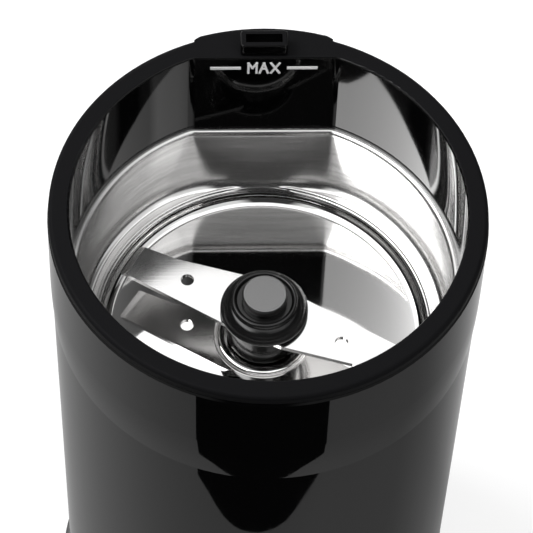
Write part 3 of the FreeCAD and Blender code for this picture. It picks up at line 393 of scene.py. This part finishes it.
@dataclass(frozen=True)
class HubPlastic(Finish):
    """Half-gloss black moulding of the hub, turned smooth, with fine rings round its axis."""

    colour: Colour = (0.004, 0.004, 0.004)
    handled: Colour = (0.009, 0.009, 0.009)
    rough: float = 0.14
    bounce: float = 1.42

    def paint(self, tree: Tree) -> None:
        """Add the finish's nodes."""
        rings = tree.noise(tree.place((0.02, 0.02, 1.0)), 6000.0, 2.0)
        patches = tree.noise(tree.place(), 180.0, 3.0)
        tree.shade(
            {
                "Base Color": tree.blend(patches, self.colour, self.handled),
                "Roughness": tree.spread(patches, (0.3, 0.7), (self.rough, self.rough + 0.08)),
                "IOR": self.bounce,
                "Normal": tree.bump(rings, 0.000004, 0.5),
            }
        )


@dataclass(frozen=True)
class BowlSteel(Finish):
    """Stainless steel: finely brushed round the wall, polished in rings in the dish."""

    colour: Colour = (0.82, 0.815, 0.81)
    shade: Colour = (0.7, 0.695, 0.69)
    wall_rough: float = 0.22
    spread: float = 0.85
    spread_turn: float = 0.25
    dish_rough: float = 0.035
    ledge: float = BOWL_FLOOR + 3.4 * MM
    line_length: float = 0.0012
    depth: float = 0.000008

    def paint(self, tree: Tree) -> None:
        """Add the finish's nodes."""
        edge = (self.ledge - 0.4 * MM, self.ledge + 1.2 * MM)
        wall = tree.spread(tree.axis(2), edge, (0.0, 1.0))
        around = tree.math("MULTIPLY", tree.angle(), self.line_length)
        across = tree.add("ShaderNodeCombineXYZ", {0: tree.axis(2), 1: around}).outputs[0]
        hairs = tree.noise(across, 5200.0, 4.0)
        broad = tree.noise(across, 700.0, 3.0)
        rings = tree.rings(9000.0)
        height = tree.mix(wall, tree.math("MULTIPLY", rings, 0.06), hairs)
        satin = tree.spread(hairs, (0.3, 0.7), (self.wall_rough - 0.03, self.wall_rough + 0.04))
        rough = tree.mix(wall, self.dish_rough, satin)
        tone = tree.blend(tree.spread(broad, (0.35, 0.65), (0.0, 1.0)), self.shade, self.colour)
        tree.shade(
            {
                "Base Color": tree.blend(wall, self.colour, tone),
                "Metallic": 1.0,
                "Roughness": rough,
                "Anisotropic": self.spread,
                "Anisotropic Rotation": self.spread_turn,
                "Normal": tree.bump(height, self.depth, 0.6),
                "Tangent": tree.add("ShaderNodeTangent", direction_type="RADIAL", axis="Z").outputs[0],
            }
        )


@dataclass(frozen=True)
class GroundSteel(Finish):
    """Polished or ground metal with fine lines along one direction."""

    colour: Colour = (0.75, 0.745, 0.74)
    rough: float = 0.12
    lines: float = 3000.0
    turn: float = 0.0
    stretch: Colour = (0.02, 1.0, 1.0)
    depth: float = 0.000006

    def paint(self, tree: Tree) -> None:
        """Add the finish's nodes."""
        lines = tree.noise(tree.place(self.stretch, (0.0, 0.0, self.turn)), self.lines, 3.0)
        patches = tree.noise(tree.place(), 90.0, 3.0)
        tree.shade(
            {
                "Base Color": tree.blend(lines, dimmed(self.colour, 0.9), self.colour),
                "Metallic": 1.0,
                "Roughness": tree.spread(patches, (0.3, 0.7), (self.rough, self.rough + 0.05)),
                "Normal": tree.bump(lines, self.depth, 0.6),
            }
        )


@dataclass(frozen=True)
class TurnedSteel(Finish):
    """Satin metal with fine turned rings round the upright axis."""

    colour: Colour = (0.5, 0.5, 0.5)
    rough: float = 0.3

    def paint(self, tree: Tree) -> None:
        """Add the finish's nodes."""
        rings = tree.rings(7000.0)
        tree.shade(
            {
                "Base Color": tree.blend(rings, dimmed(self.colour, 0.85), self.colour),
                "Metallic": 1.0,
                "Roughness": tree.spread(rings, (0.3, 0.7), (self.rough - 0.04, self.rough + 0.06)),
                "Normal": tree.bump(rings, 0.000005, 0.5),
            }
        )


@dataclass(frozen=True)
class Laminations(Finish):
    """Varnished steel sheets, seen as thin layers along the upright axis."""

    colour: Colour = (0.16, 0.16, 0.17)
    varnish: Colour = (0.24, 0.22, 0.2)
    sheet: float = 0.0005

    def paint(self, tree: Tree) -> None:
        """Add the finish's nodes."""
        layer = tree.math("SINE", tree.math("MULTIPLY", tree.axis(2), math.tau / self.sheet))
        level = tree.spread(layer, (-1.0, 1.0), (0.0, 1.0))
        patches = tree.noise(tree.place(), 120.0, 3.0)
        tree.shade(
            {
                "Base Color": tree.blend(patches, self.colour, self.varnish),
                "Metallic": 0.6,
                "Roughness": tree.spread(patches, (0.2, 0.8), (0.35, 0.55)),
                "Normal": tree.bump(level, 0.00006, 0.8),
            }
        )


@dataclass(frozen=True)
class WoundCopper(Finish):
    """Enamelled wire, with the lines of its turns, painted shade in the grooves between them and a clear
    varnish.
    """

    colour: Colour = (0.62, 0.25, 0.09)
    # Darker copper painted into the grooves between the turns: painted shade, not a colour of the wire.
    painted_groove_shade: Colour = (0.25, 0.08, 0.03)
    wire: float = 0.0004

    def paint(self, tree: Tree) -> None:
        """Add the finish's nodes."""
        place = tree.place((1.0, 1.0, 1.0), (0.35, 0.2, 0.1))
        wanted = {"Vector": place, "Scale": WAVE_SCALE / self.wire, "Distortion": 1.5, "Detail": 2.0}
        lines = tree.add("ShaderNodeTexWave", wanted).outputs["Fac"]
        tree.shade(
            {
                # The colour falls to the painted groove shade between the wire's turns.
                "Base Color": tree.blend(lines, self.painted_groove_shade, self.colour),
                "Metallic": 0.7,
                "Roughness": tree.spread(lines, (0.0, 1.0), (0.5, 0.28)),
                "Coat Weight": 0.5,
                "Coat Roughness": 0.25,
                "Normal": tree.bump(lines, 0.0001, 0.8),
            }
        )


@dataclass(frozen=True)
class CastMetal(Finish):
    """Die-cast or sintered metal with a fine uneven skin."""

    colour: Colour = (0.5, 0.5, 0.51)
    rough: float = 0.4
    grain: float = 900.0

    def paint(self, tree: Tree) -> None:
        """Add the finish's nodes."""
        skin = tree.noise(tree.place(), self.grain, 4.0)
        flow = tree.noise(tree.place(), 70.0, 3.0)
        darker = dimmed(self.colour, 0.75)
        tree.shade(
            {
                "Base Color": tree.blend(flow, darker, self.colour),
                "Metallic": 1.0,
                "Roughness": tree.spread(skin, (0.2, 0.8), (self.rough - 0.08, self.rough + 0.12)),
                "Normal": tree.bump(skin, 0.00004, 0.6),
            }
        )


FINISHES = (
    RimPlastic("matt_black"),
    RimPlastic("rim_gloss", (0.0012, 0.0012, 0.0013), bounce=1.3, rough=0.03, vary=0.02, grain=0.0000002),
    MouldedPlastic("white_print", (0.98, 0.98, 0.98), 0.5, 0.000004),
    GlossPlastic("gloss_black"),
    MouldedPlastic("black_plastic", (0.016, 0.016, 0.016), 0.48, 0.00004, 1100.0),
    HubPlastic("hub_black"),
    MouldedPlastic("inner_plastic", (0.55, 0.54, 0.5), 0.42),
    MouldedPlastic("rubber", (0.014, 0.014, 0.014), 0.72, 0.00005, 900.0),
    BowlSteel("bowl_steel"),
    GroundSteel("blade_steel", turn=math.radians(26.2)),
    TurnedSteel("satin_steel", (0.19, 0.19, 0.19)),
    GroundSteel("zinc_steel", (0.55, 0.56, 0.58), 0.28, 1500.0),
    Laminations("lamination"),
    WoundCopper("copper"),
    CastMetal("bracket_alloy"),
    CastMetal("bronze", (0.5, 0.33, 0.15), 0.38, 1600.0),
    CastMetal("brass", (0.72, 0.5, 0.2), 0.25, 700.0),
    MouldedPlastic("carbon", (0.022, 0.022, 0.024), 0.6, 0.00006, 2400.0),
    MouldedPlastic("fibre", (0.33, 0.06, 0.03), 0.65, 0.00004, 1400.0),
)
SLOTS = {part["node"]: part["material_slot"] for part in frame["record"]["subparts"]}


def finish_of(slot: str) -> Finish:
    """The finish that stands for one of the record's material slots.

    Args:
        slot: the slot's name, or rim_gloss for the polished cavity.

    Returns:
        The finish.
    """
    return next(finish for finish in FINISHES if finish.slot == slot)


def finish_piece(piece: bpy.types.Object, name: str, slot: str, body: Body) -> None:
    """Name a new piece, dress it and make it ride on its body.

    Args:
        piece: the finished piece, at its place.
        name: what the piece is called.
        slot: the record's material slot.
        body: the body that it moves with.
    """
    piece.name = name
    piece.data.name = name
    piece.data.materials.clear()
    piece.data.materials.append(finish_of(slot).material())
    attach(piece, body.value)
    log.info("%s: new piece on %s, %d faces", name, body.value, len(piece.data.polygons))


class RingMesh:
    """A mesh of joined rings round the upright axis, each extruded from the last."""

    def __init__(self, steps: int) -> None:
        """Start with one ring of points.

        Args:
            steps: how many points each ring has.
        """
        bpy.ops.object.select_all(action="DESELECT")
        bpy.ops.mesh.primitive_circle_add(vertices=steps, radius=1.0)
        self.piece = bpy.context.object
        self.count = 0
        bpy.ops.object.mode_set(mode="EDIT")

    def lay(self, ring: Ring) -> None:
        """Extrude the last ring and lay the new one along a line.

        Args:
            ring: gives the radius and height at an angle.
        """
        if self.count:
            bpy.ops.mesh.extrude_edges_move()
        self.count += 1
        shape = bmesh.from_edit_mesh(self.piece.data)
        for point in shape.verts:
            if point.select:
                turn = math.atan2(point.co.y, point.co.x)
                radius, level = ring(turn)
                point.co = (radius * math.cos(turn), radius * math.sin(turn), level)
        bmesh.update_edit_mesh(self.piece.data)

    def close(self, sharp: float) -> bpy.types.Object:
        """Join the last ring to the first and smooth the piece.

        Args:
            sharp: the angle in degrees past which an edge stays sharp.

        Returns:
            The finished piece.
        """
        bpy.ops.mesh.select_all(action="DESELECT")
        bpy.ops.mesh.select_mode(type="EDGE")
        bpy.ops.mesh.select_non_manifold()
        bpy.ops.mesh.bridge_edge_loops()
        bpy.ops.mesh.select_all(action="SELECT")
        bpy.ops.mesh.normals_make_consistent(inside=False)
        bpy.ops.object.mode_set(mode="OBJECT")
        bpy.ops.object.shade_smooth_by_angle(angle=math.radians(sharp))
        return self.piece


def arc(middle: Point, radius: float, start: float, end: float, steps: int) -> list[Point]:
    """Points on an arc in the section plane.

    Args:
        middle: the arc's centre, as offset or radius and height.
        radius: the arc's radius.
        start: the first angle in degrees, from the outward direction.
        end: the last angle in degrees.
        steps: how many points follow the first.

    Returns:
        The points, both ends included.
    """
    turns = [math.radians(start + (end - start) * index / steps) for index in range(steps + 1)]
    return [(middle[0] + radius * math.cos(turn), middle[1] + radius * math.sin(turn)) for turn in turns]


@dataclass
class DrawnBowl:
    """The drawn steel bowl: rolled lip, D-shaped wall, bead, dish and neck.

    The wall's corners grow rounder downwards.
    """

    steps: int = 640
    radius: float = 42.5 * MM
    flat: float = 39.4 * MM
    corner: float = 4.0 * MM
    low_corner: float = 28.0 * MM
    sheet: float = BOWL_SHEET
    flange: float = 1.3 * MM
    inset: float = 0.6 * MM
    lip_inset: float = 1.2 * MM
    lip_height: float = 1.8 * MM
    lip_round: float = 0.9 * MM
    lip_under_round: float = 0.4 * MM
    ledge_rise: float = 3.4 * MM
    ledge_round: float = 2.6 * MM
    bead_radius: float = 38.1 * MM
    bead_section: float = 0.5 * MM
    dish_radius: float = 37.2 * MM
    dish_edge: float = 0.3 * MM
    dish_round: float = 2.9 * MM
    boss_radius: float = 10.0 * MM
    boss_section: float = 1.2 * MM
    neck_radius: float = 6.4 * MM
    neck_height: float = 4.5 * MM
    clear: float = 0.02 * MM

    @property
    def ledge(self) -> float:
        """The height of the ledge round the dish."""
        return BOWL_FLOOR + self.ledge_rise

    @property
    def bend(self) -> float:
        """The height at which the wall's lower round starts."""
        return self.ledge + self.ledge_round

    def reach(self, turn: float, offset: float, level: float) -> float:
        """How far the D-shaped line is from the axis in one direction.

        Args:
            turn: the direction's angle.
            offset: how far the line is outside the cavity's.
            level: the height, which sets how round the corners are.

        Returns:
            The distance.
        """
        rise = LIP_TOP - self.lip_height - self.bend
        share = min(1.0, max(0.0, (level - self.bend) / rise))
        corner = self.low_corner + (self.corner - self.low_corner) * share + offset
        radius, flat = self.radius + offset, self.flat + offset
        middle_y = flat - corner
        middle_x = math.sqrt((radius - corner) ** 2 - middle_y**2)
        side = math.atan2(math.sin(turn), abs(math.cos(turn)))
        if side <= math.atan2(middle_y, middle_x):
            return radius
        if side >= math.atan2(flat, middle_x):
            return flat / math.sin(side)
        along = middle_x * math.cos(side) + middle_y * math.sin(side)
        across = middle_x * math.sin(side) - middle_y * math.cos(side)
        return along + math.sqrt(corner**2 - across**2)

    def wall(self, offset: float, level: float) -> Ring:
        """A ring that follows the D-shaped line.

        Args:
            offset: how far the ring is outside the cavity's line.
            level: the ring's height.

        Returns:
            The ring.
        """
        return lambda turn: (self.reach(turn, offset, level), level)

    def round(self, radius: float, level: float) -> Ring:
        """A plain round ring.

        Args:
            radius: the ring's radius.
            level: the ring's height.

        Returns:
            The ring.
        """
        return lambda turn: (radius, level)

    def bend_height(self, depth: float, bend: float) -> float:
        """The height of the wall's lower round.

        Args:
            depth: how far in from the wall.
            bend: the round's radius.

        Returns:
            The height.
        """
        return self.bend - math.sqrt(max(0.0, bend**2 - (bend - min(depth, bend)) ** 2))

    def bend_ring(self, offset: float, bend: float, inner: float, share: float) -> Ring:
        """A ring on the round between the wall and the ledge.

        Args:
            offset: how far the wall is outside the cavity's line.
            bend: the round's radius.
            inner: the radius that the ring stays outside.
            share: 0 at the wall and 1 at the round's end.

        Returns:
            The ring.
        """

        def ring(turn: float) -> Point:
            """The ring's radius and height at an angle."""
            wall = self.reach(turn, offset, self.bend)
            depth = min(bend, wall - inner - self.clear) * (1.0 - math.cos(share * math.pi / 2))
            return wall - depth, self.bend_height(depth, bend)

        return ring

    def seat_ring(self, offset: float, bend: float, radius: float, rise: float) -> Ring:
        """A ring on the ledge, or on the wall's round where that stands higher.

        Args:
            offset: how far the wall is outside the cavity's line.
            bend: the wall's round.
            radius: the ring's radius.
            rise: the ring's height above the ledge.

        Returns:
            The ring.
        """

        def ring(turn: float) -> Point:
            """The ring's radius and height at an angle."""
            depth = self.reach(turn, offset, self.bend) - radius
            return radius, max(self.ledge + rise, self.bend_height(depth, bend))

        return ring

    def rings(self) -> list[Ring]:
        """The rings from the flange's edge, down inside the bowl and back up outside it."""
        under = LIP_TOP - self.lip_height
        inside, outside = -self.inset, self.sheet - self.inset
        found = [self.wall(self.flange, under), self.wall(self.flange, LIP_TOP)]
        upper, lower = self.lip_round, self.lip_under_round
        top = arc((upper - self.lip_inset, LIP_TOP - upper), upper, 90.0, 180.0, 8)
        low = arc((lower - self.lip_inset, under + lower), lower, 180.0, 270.0, 4)
        found += [self.wall(offset, level) for offset, level in top + low]
        drop = under - self.bend
        found += [self.wall(inside, under - drop * index / 10) for index in range(11)]
        bead_out = self.bead_radius + self.bead_section
        found += [self.bend_ring(inside, self.ledge_round, bead_out, index / 12) for index in range(1, 13)]
        bead = arc((self.bead_radius, 0.0), self.bead_section, 0.0, 180.0, 10)
        found += [self.seat_ring(inside, self.ledge_round, radius, rise) for radius, rise in bead]
        edge = arc((self.dish_radius + self.dish_edge, -self.dish_edge), self.dish_edge, 90.0, 180.0, 4)
        found += [self.seat_ring(inside, self.ledge_round, *edge[0])]
        found += [self.round(radius, self.ledge + rise) for radius, rise in edge[1:]]
        heart = (self.dish_radius - self.dish_round, BOWL_FLOOR + self.dish_round)
        found += [self.round(*point) for point in arc(heart, self.dish_round, 0.0, -90.0, 14)]
        boss = arc((self.boss_radius, BOWL_FLOOR), self.boss_section, 0.0, 180.0, 14)
        span = heart[0] - boss[0][0]
        found += [self.round(heart[0] - span * index / 4, BOWL_FLOOR) for index in range(1, 4)]
        found += [self.round(*point) for point in boss]
        neck = BOWL_FLOOR + self.neck_height
        bore = self.neck_radius - self.sheet
        found += [self.round(self.neck_radius, level) for level in (BOWL_FLOOR, neck)]
        found += [self.round(bore, level) for level in (neck, BOWL_UNDER)]
        found += [self.round(*point) for point in arc(heart, self.dish_round + self.sheet, -90.0, 0.0, 8)]
        pan, bend = self.dish_radius + self.sheet, self.ledge_round + self.sheet
        found += [self.bend_ring(outside, bend, pan, index / 6) for index in range(6, 0, -1)]
        return found + [self.wall(outside, level) for level in (self.bend, under)]

    def build(self) -> None:
        """Make the bowl in place of its plainer solid."""
        mesh = RingMesh(self.steps)
        for ring in self.rings():
            mesh.lay(ring)
        piece = mesh.close(50.0)
        finish_piece(piece, "drawn_bowl", "bowl_steel", Body.HOUSING)
        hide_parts("bowl")


@dataclass
class Ridge:
    """A low moulded ring with rounded edges, on the underside or round the cord's bush."""

    inner: float
    outer: float
    low: float
    high: float
    edge: float = 0.2 * MM
    edge_steps: int = 3
    steps: int = 96

    def build(self) -> bpy.types.Object:
        """Make the ring about the upright axis.

        Returns:
            The ring, not yet turned or dressed.
        """
        mesh = RingMesh(self.steps)
        outside = [(self.outer, level) for level in (self.low, self.high)]
        inside = [(self.inner, level) for level in (self.high, self.low)]
        for place in outside + inside:
            mesh.lay(lambda turn, place=place: place)
        piece = mesh.close(30.0)
        soften = piece.modifiers.new("soften", "BEVEL")
        soften.width = self.edge
        soften.segments = self.edge_steps
        bpy.ops.object.modifier_apply(modifier=soften.name)
        bpy.ops.object.shade_smooth_by_angle(angle=math.radians(40.0))
        return piece


@dataclass
class Assembly:
    """A group of CAD pieces that is dressed together."""

    nodes: tuple[str, ...] = ()

    def dress(self) -> None:
        """Give every CAD piece of the group its finish."""
        for name in self.nodes:
            node = frame["nodes"][name]
            node.data.materials.clear()
            node.data.materials.append(finish_of(SLOTS[name]).material())
            for face in node.data.polygons:
                face.material_index = 0
            log.info("%s: %s", name, SLOTS[name])

    def build(self) -> None:
        """Dress the CAD pieces; a group with pieces of its own adds them too."""
        self.dress()


@dataclass
class Casing(Assembly):
    """The rim, shell and base, with the ridges moulded on the base plate and the cord's bush."""

    nodes: tuple[str, ...] = (
        "rim_collar", "max_mark", "body_shell", "base_ring", "base_plate", "rubber_feet", "base_screws",
        "cord_bush", "terminal_block",
    )
    ridge_radii: tuple[float, ...] = (16.0 * MM, 23.0 * MM)
    ridge_width: float = 1.2 * MM
    ridge_drop: float = 0.5 * MM
    ridge_root: float = 0.2 * MM
    bush_ridges: tuple[float, ...] = (4.1 * MM, 5.3 * MM)
    bush_ridge_width: float = 0.45 * MM
    bush_ridge_rise: float = 0.4 * MM
    bush_ridge_edge: float = 0.1 * MM
    level_facing: float = 0.9
    rim_edge: float = 0.8 * MM
    rim_side: float = 45.4 * MM

    def polish_cavity(self) -> None:
        """Give the rim collar's cavity wall its gloss, as its top and outer side stay matt."""
        mesh = frame["nodes"]["rim_collar"].data
        mesh.materials.append(finish_of("rim_gloss").material())
        for face in mesh.polygons:
            place = face.center
            level = face.normal.z > self.level_facing and place.z > RIM_TOP - self.rim_edge
            matt = level or math.hypot(place.x, place.y) > self.rim_side
            face.material_index = 0 if matt else 1

    def build(self) -> None:
        """Dress the CAD pieces and add the ridges."""
        self.dress()
        self.polish_cavity()
        self.plate_ridges()
        self.cord_ridges()

    def plate_ridges(self) -> None:
        """Add the ridges under the base plate."""
        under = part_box("base_plate")[0][2]
        low, high = under - self.ridge_drop, under + self.ridge_root
        for index, radius in enumerate(self.ridge_radii, start=1):
            ridge = Ridge(radius, radius + self.ridge_width, low, high)
            finish_piece(ridge.build(), "plate_ridge_%d" % index, "black_plastic", Body.HOUSING)

    def cord_ridges(self) -> None:
        """Add the ridges on the outer face of the cord's bush."""
        low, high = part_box("cord_bush")
        face = Matrix.Translation((0.0, high[1], (low[2] + high[2]) / 2))
        place = face @ Matrix.Rotation(-math.pi / 2, 4, "X")
        for index, radius in enumerate(self.bush_ridges, start=1):
            outer = radius + self.bush_ridge_width
            ridge = Ridge(radius, outer, -self.ridge_root, self.bush_ridge_rise, self.bush_ridge_edge)
            piece = ridge.build()
            piece.data.transform(place)
            finish_piece(piece, "bush_ridge_%d" % index, "rubber", Body.HOUSING)


@dataclass
class BowlUnit(Assembly):
    """The steel bowl with the gasket, seal and cradle that hold it."""

    nodes: tuple[str, ...] = ("bowl", "bowl_gasket", "shaft_seal", "bowl_cradle")
    bowl: DrawnBowl = field(default_factory=DrawnBowl)

    def build(self) -> None:
        """Dress the CAD pieces and make the drawn bowl."""
        self.dress()
        self.bowl.build()


@dataclass
class Spindle(Assembly):
    """Everything that turns: the rotor, the shaft, the blade and its hub."""

    nodes: tuple[str, ...] = (
        "drive_shaft", "armature_core", "armature_windings", "commutator", "thrust_washers",
        "hub_skirt", "hub_insert", "blade", "hub_collar", "hub_cap",
    )


@dataclass
class Motor(Assembly):
    """The fixed half of the motor and the dampers that it hangs on."""

    nodes: tuple[str, ...] = (
        "rubber_dampers", "damper_screws", "upper_bracket", "lower_bracket", "upper_bearing",
        "lower_bearing", "stator_core", "field_coils", "stator_bolts", "brush_holders",
        "carbon_brushes", "brush_springs", "brush_caps",
    )


@dataclass
class Interlock(Assembly):
    """The push rod under the lid's key slot and the switch that it works."""

    nodes: tuple[str, ...] = (
        "push_rod", "rod_spring", "switch_bracket", "bracket_screws", "switch_body", "switch_screws",
        "switch_terminals", "lever_pin", "switch_lever", "switch_button",
    )
    travel: float = 3.0 * MM

    def build(self) -> None:
        """Dress the CAD pieces and give the return spring a mesh of its own."""
        self.dress()
        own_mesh(frame["nodes"]["rod_spring"])


@dataclass
class Camera:
    """The camera, at the photograph's viewing angle."""

    distance: float = 0.705
    elevation: float = 56.46
    azimuth: float = -3.6
    pan: float = -0.0075
    tilt: float = -1.013
    roll: float = -2.606
    lens: float = 223.6
    sensor: float = 36.0
    near: float = 0.01
    far: float = 20.0

    def build(self) -> None:
        """Add the camera and make it the scene's."""
        rise = math.radians(self.elevation)
        side = math.radians(self.azimuth)
        reach = Vector((math.cos(rise) * math.sin(side), -math.cos(rise) * math.cos(side), math.sin(rise)))
        place = Vector((0.0, 0.0, RIM_TOP)) + reach * self.distance
        ahead = -reach
        right = ahead.cross(Vector((0.0, 0.0, 1.0))).normalized()
        up = right.cross(ahead)
        ahead, right = self.turned((ahead, right), up, self.pan)
        ahead, up = self.turned((ahead, up), right, self.tilt)
        right, up = self.turned((right, up), ahead, self.roll)
        data = bpy.data.cameras.new("camera")
        data.lens = self.lens
        data.sensor_width = self.sensor
        data.clip_start = self.near
        data.clip_end = self.far
        holder = bpy.data.objects.new("camera", data)
        bpy.context.scene.collection.objects.link(holder)
        turn = Matrix((right, up, -ahead)).transposed().to_4x4()
        holder.matrix_world = Matrix.Translation(place) @ turn
        bpy.context.scene.camera = holder

    @staticmethod
    def turned(vectors: tuple[Vector, ...], axis: Vector, degrees: float) -> list[Vector]:
        """Vectors turned about an axis.

        Args:
            vectors: the vectors at the start.
            axis: the axis.
            degrees: how far they turn.

        Returns:
            The turned vectors.
        """
        turn = Matrix.Rotation(math.radians(degrees), 3, axis)
        return [turn @ vector for vector in vectors]


@dataclass(frozen=True)
class Panel:
    """A soft-edged patch of the surroundings that gloss reflects.

    The heading is in degrees, 0 to the front and positive to the right; heights are in degrees
    above the floor; the level is the patch's brightness.
    """

    heading: float
    half_width: float
    low: float
    high: float
    level: float
    edge: float = 8.0


@dataclass(frozen=True)
class Lamp:
    """A large soft lamp that lights the object and isn't itself reflected."""

    name: str
    place: Colour
    size: float
    power: float


@dataclass
class Studio:
    """The pale floor, the white surroundings and the soft lamps."""

    floor_half: float = 4.0
    floor_colour: Colour = (0.4, 0.4, 0.4)
    floor_patches: Colour = (0.42, 0.42, 0.42)
    floor_glow: float = 0.62
    world_fill: float = 0.5
    side_level: float = 1.0
    top_level: float = 1.8
    side_to_top: Point = (58.0, 68.0)
    panels: tuple[Panel, ...] = (
        Panel(-95.0, 55.0, -10.0, 64.0, 1.5, 14.0),
        Panel(180.0, 30.0, -10.0, 90.0, 1.9, 14.0),
        Panel(131.0, 26.0, -10.0, 57.0, 0.16, 14.0),
        Panel(-5.0, 17.0, 20.0, 66.0, 0.05, 9.0),
        Panel(-84.0, 46.0, 46.0, 66.0, 8.0, 8.0),
        Panel(60.0, 10.0, 50.0, 60.0, 1.8, 6.0),
    )
    lamps: tuple[Lamp, ...] = (
        Lamp("key", (-0.75, 0.2, 1.0), 0.6, 17.0),
        Lamp("fill", (0.6, -0.4, 1.1), 0.7, 9.0),
    )
    card: tuple[Point, ...] = (
        (20.0 * MM, -98.5 * MM), (42.0 * MM, -100.0 * MM), (54.0 * MM, -100.0 * MM),
        (61.0 * MM, -109.5 * MM), (68.0 * MM, -118.5 * MM), (90.0 * MM, -146.0 * MM),
        (300.0 * MM, -400.0 * MM),
    )
    card_colours: tuple[Colour, Colour] = ((0.004, 0.004, 0.004), (0.012, 0.012, 0.012))
    card_turn: float = -3.6
    card_shift: float = 4.0 * MM
    card_height: float = 0.5 * MM
    aim: Colour = (0.0, 0.0, 0.1)

    def build(self) -> None:
        """Add the floor, world, lamps and the dark card in front."""
        self.floor()
        self.world()
        self.dark_card()
        for lamp in self.lamps:
            self.light(lamp)

    def floor(self) -> None:
        """Add the floor, white to the camera with the object's soft shadow on it."""
        bpy.ops.object.select_all(action="DESELECT")
        bpy.ops.mesh.primitive_plane_add(size=self.floor_half * 2)
        plane = bpy.context.object
        plane.name = "floor"
        material = bpy.data.materials.new("floor")
        tree = Tree(material)
        tone = tree.noise(tree.place(), 3.0)
        seen = tree.add("ShaderNodeLightPath").outputs["Is Camera Ray"]
        paper = tree.blend(tone, self.floor_colour, self.floor_patches)
        matte = tree.add("ShaderNodeBsdfDiffuse", {"Color": paper})
        glow = tree.add("ShaderNodeEmission", {"Strength": tree.math("MULTIPLY", seen, self.floor_glow)})
        both = tree.add("ShaderNodeAddShader", {0: matte.outputs[0], 1: glow.outputs[0]})
        tree.add("ShaderNodeOutputMaterial", {"Surface": both.outputs[0]})
        plane.data.materials.append(material)

    def dark_card(self) -> None:
        """Lay a dark card on the floor in front, which only gloss reflects."""
        bpy.ops.object.select_all(action="DESELECT")
        bpy.ops.mesh.primitive_circle_add(vertices=len(self.card) * 2, fill_type="NGON")
        card = bpy.context.object
        card.name = "dark_card"
        line = [(-x, y) for x, y in self.card] + [(x, y) for x, y in reversed(self.card)]
        turn = Matrix.Rotation(math.radians(self.card_turn), 3, "Z")
        for point, (x, y) in zip(card.data.vertices, line):
            point.co = turn @ Vector((x + self.card_shift, y, self.card_height))
        material = bpy.data.materials.new("dark_card")
        tree = Tree(material)
        cloth = tree.blend(tree.noise(tree.place(), 300.0), *self.card_colours)
        matte = tree.add("ShaderNodeBsdfDiffuse", {"Color": cloth})
        tree.add("ShaderNodeOutputMaterial", {"Surface": matte.outputs[0]})
        card.data.materials.append(material)
        card.visible_camera = False
        card.visible_diffuse = False
        card.visible_transmission = False
        card.visible_shadow = False

    def world(self) -> None:
        """Set the surroundings: plain fill for the light, white for the eye and panels for gloss."""
        world = bpy.data.worlds.new("studio")
        bpy.context.scene.world = world
        tree = Tree(world)
        parts = tree.add("ShaderNodeSeparateXYZ", {0: tree.where(Coordinate.GENERATED)})
        back = tree.math("MULTIPLY", parts.outputs[1], -1.0)
        heading = tree.math("MULTIPLY", tree.math("ARCTAN2", parts.outputs[0], back), TO_DEGREES)
        height = tree.math("MULTIPLY", tree.math("ARCSINE", parts.outputs[2]), TO_DEGREES)
        level = tree.spread(height, self.side_to_top, (self.side_level, self.top_level))
        for panel in self.panels:
            level = self.patch(tree, level, heading, height, panel)
        path = tree.add("ShaderNodeLightPath")
        plain = tree.math("MAXIMUM", path.outputs["Is Camera Ray"], path.outputs["Is Transmission Ray"])
        lit = tree.mix(path.outputs["Is Glossy Ray"], self.world_fill, level)
        strength = tree.mix(plain, lit, 1.0)
        shader = tree.add("ShaderNodeBackground", {"Strength": strength})
        tree.add("ShaderNodeOutputWorld", {"Surface": shader.outputs[0]})

    @staticmethod
    def patch(tree: Tree, level: Socket, heading: Socket, height: Socket, panel: Panel) -> Socket:
        """The surroundings' brightness with one more patch over it.

        Args:
            tree: the world's nodes.
            level: the brightness so far.
            heading: the ray's heading in degrees.
            height: the ray's height in degrees.
            panel: the patch.

        Returns:
            The new brightness.
        """
        half = panel.edge / 2
        turned = tree.math("WRAP", tree.math("SUBTRACT", heading, panel.heading), 180.0, -180.0)
        aside = tree.math("ABSOLUTE", turned)
        inside = tree.spread(aside, (panel.half_width + half, panel.half_width - half), (0.0, 1.0))
        above = tree.spread(height, (panel.low - half, panel.low + half), (0.0, 1.0))
        below = tree.spread(height, (panel.high + half, panel.high - half), (0.0, 1.0))
        share = tree.math("MULTIPLY", inside, tree.math("MULTIPLY", above, below))
        return tree.mix(share, level, panel.level)

    def light(self, lamp: Lamp) -> None:
        """Add one soft lamp, turned to the object.

        Args:
            lamp: the lamp.
        """
        data = bpy.data.lights.new(lamp.name, "AREA")
        data.shape = "SQUARE"
        data.size = lamp.size
        data.energy = lamp.power
        holder = bpy.data.objects.new(lamp.name, data)
        bpy.context.scene.collection.objects.link(holder)
        holder.location = lamp.place
        aim = Vector(self.aim) - Vector(lamp.place)
        holder.rotation_euler = aim.to_track_quat("-Z", "Y").to_euler()
        holder.visible_glossy = False


def main() -> None:
    """Make every sub-assembly, then the studio and the camera."""
    for unit in (Casing(), BowlUnit(), Spindle(), Motor(), Interlock()):
        unit.build()
        log.info("%s done", type(unit).__name__)
    Studio().build()
    Camera().build()
    bpy.context.scene.view_settings.view_transform = "Standard"


if __name__ == "__main__":
    main()
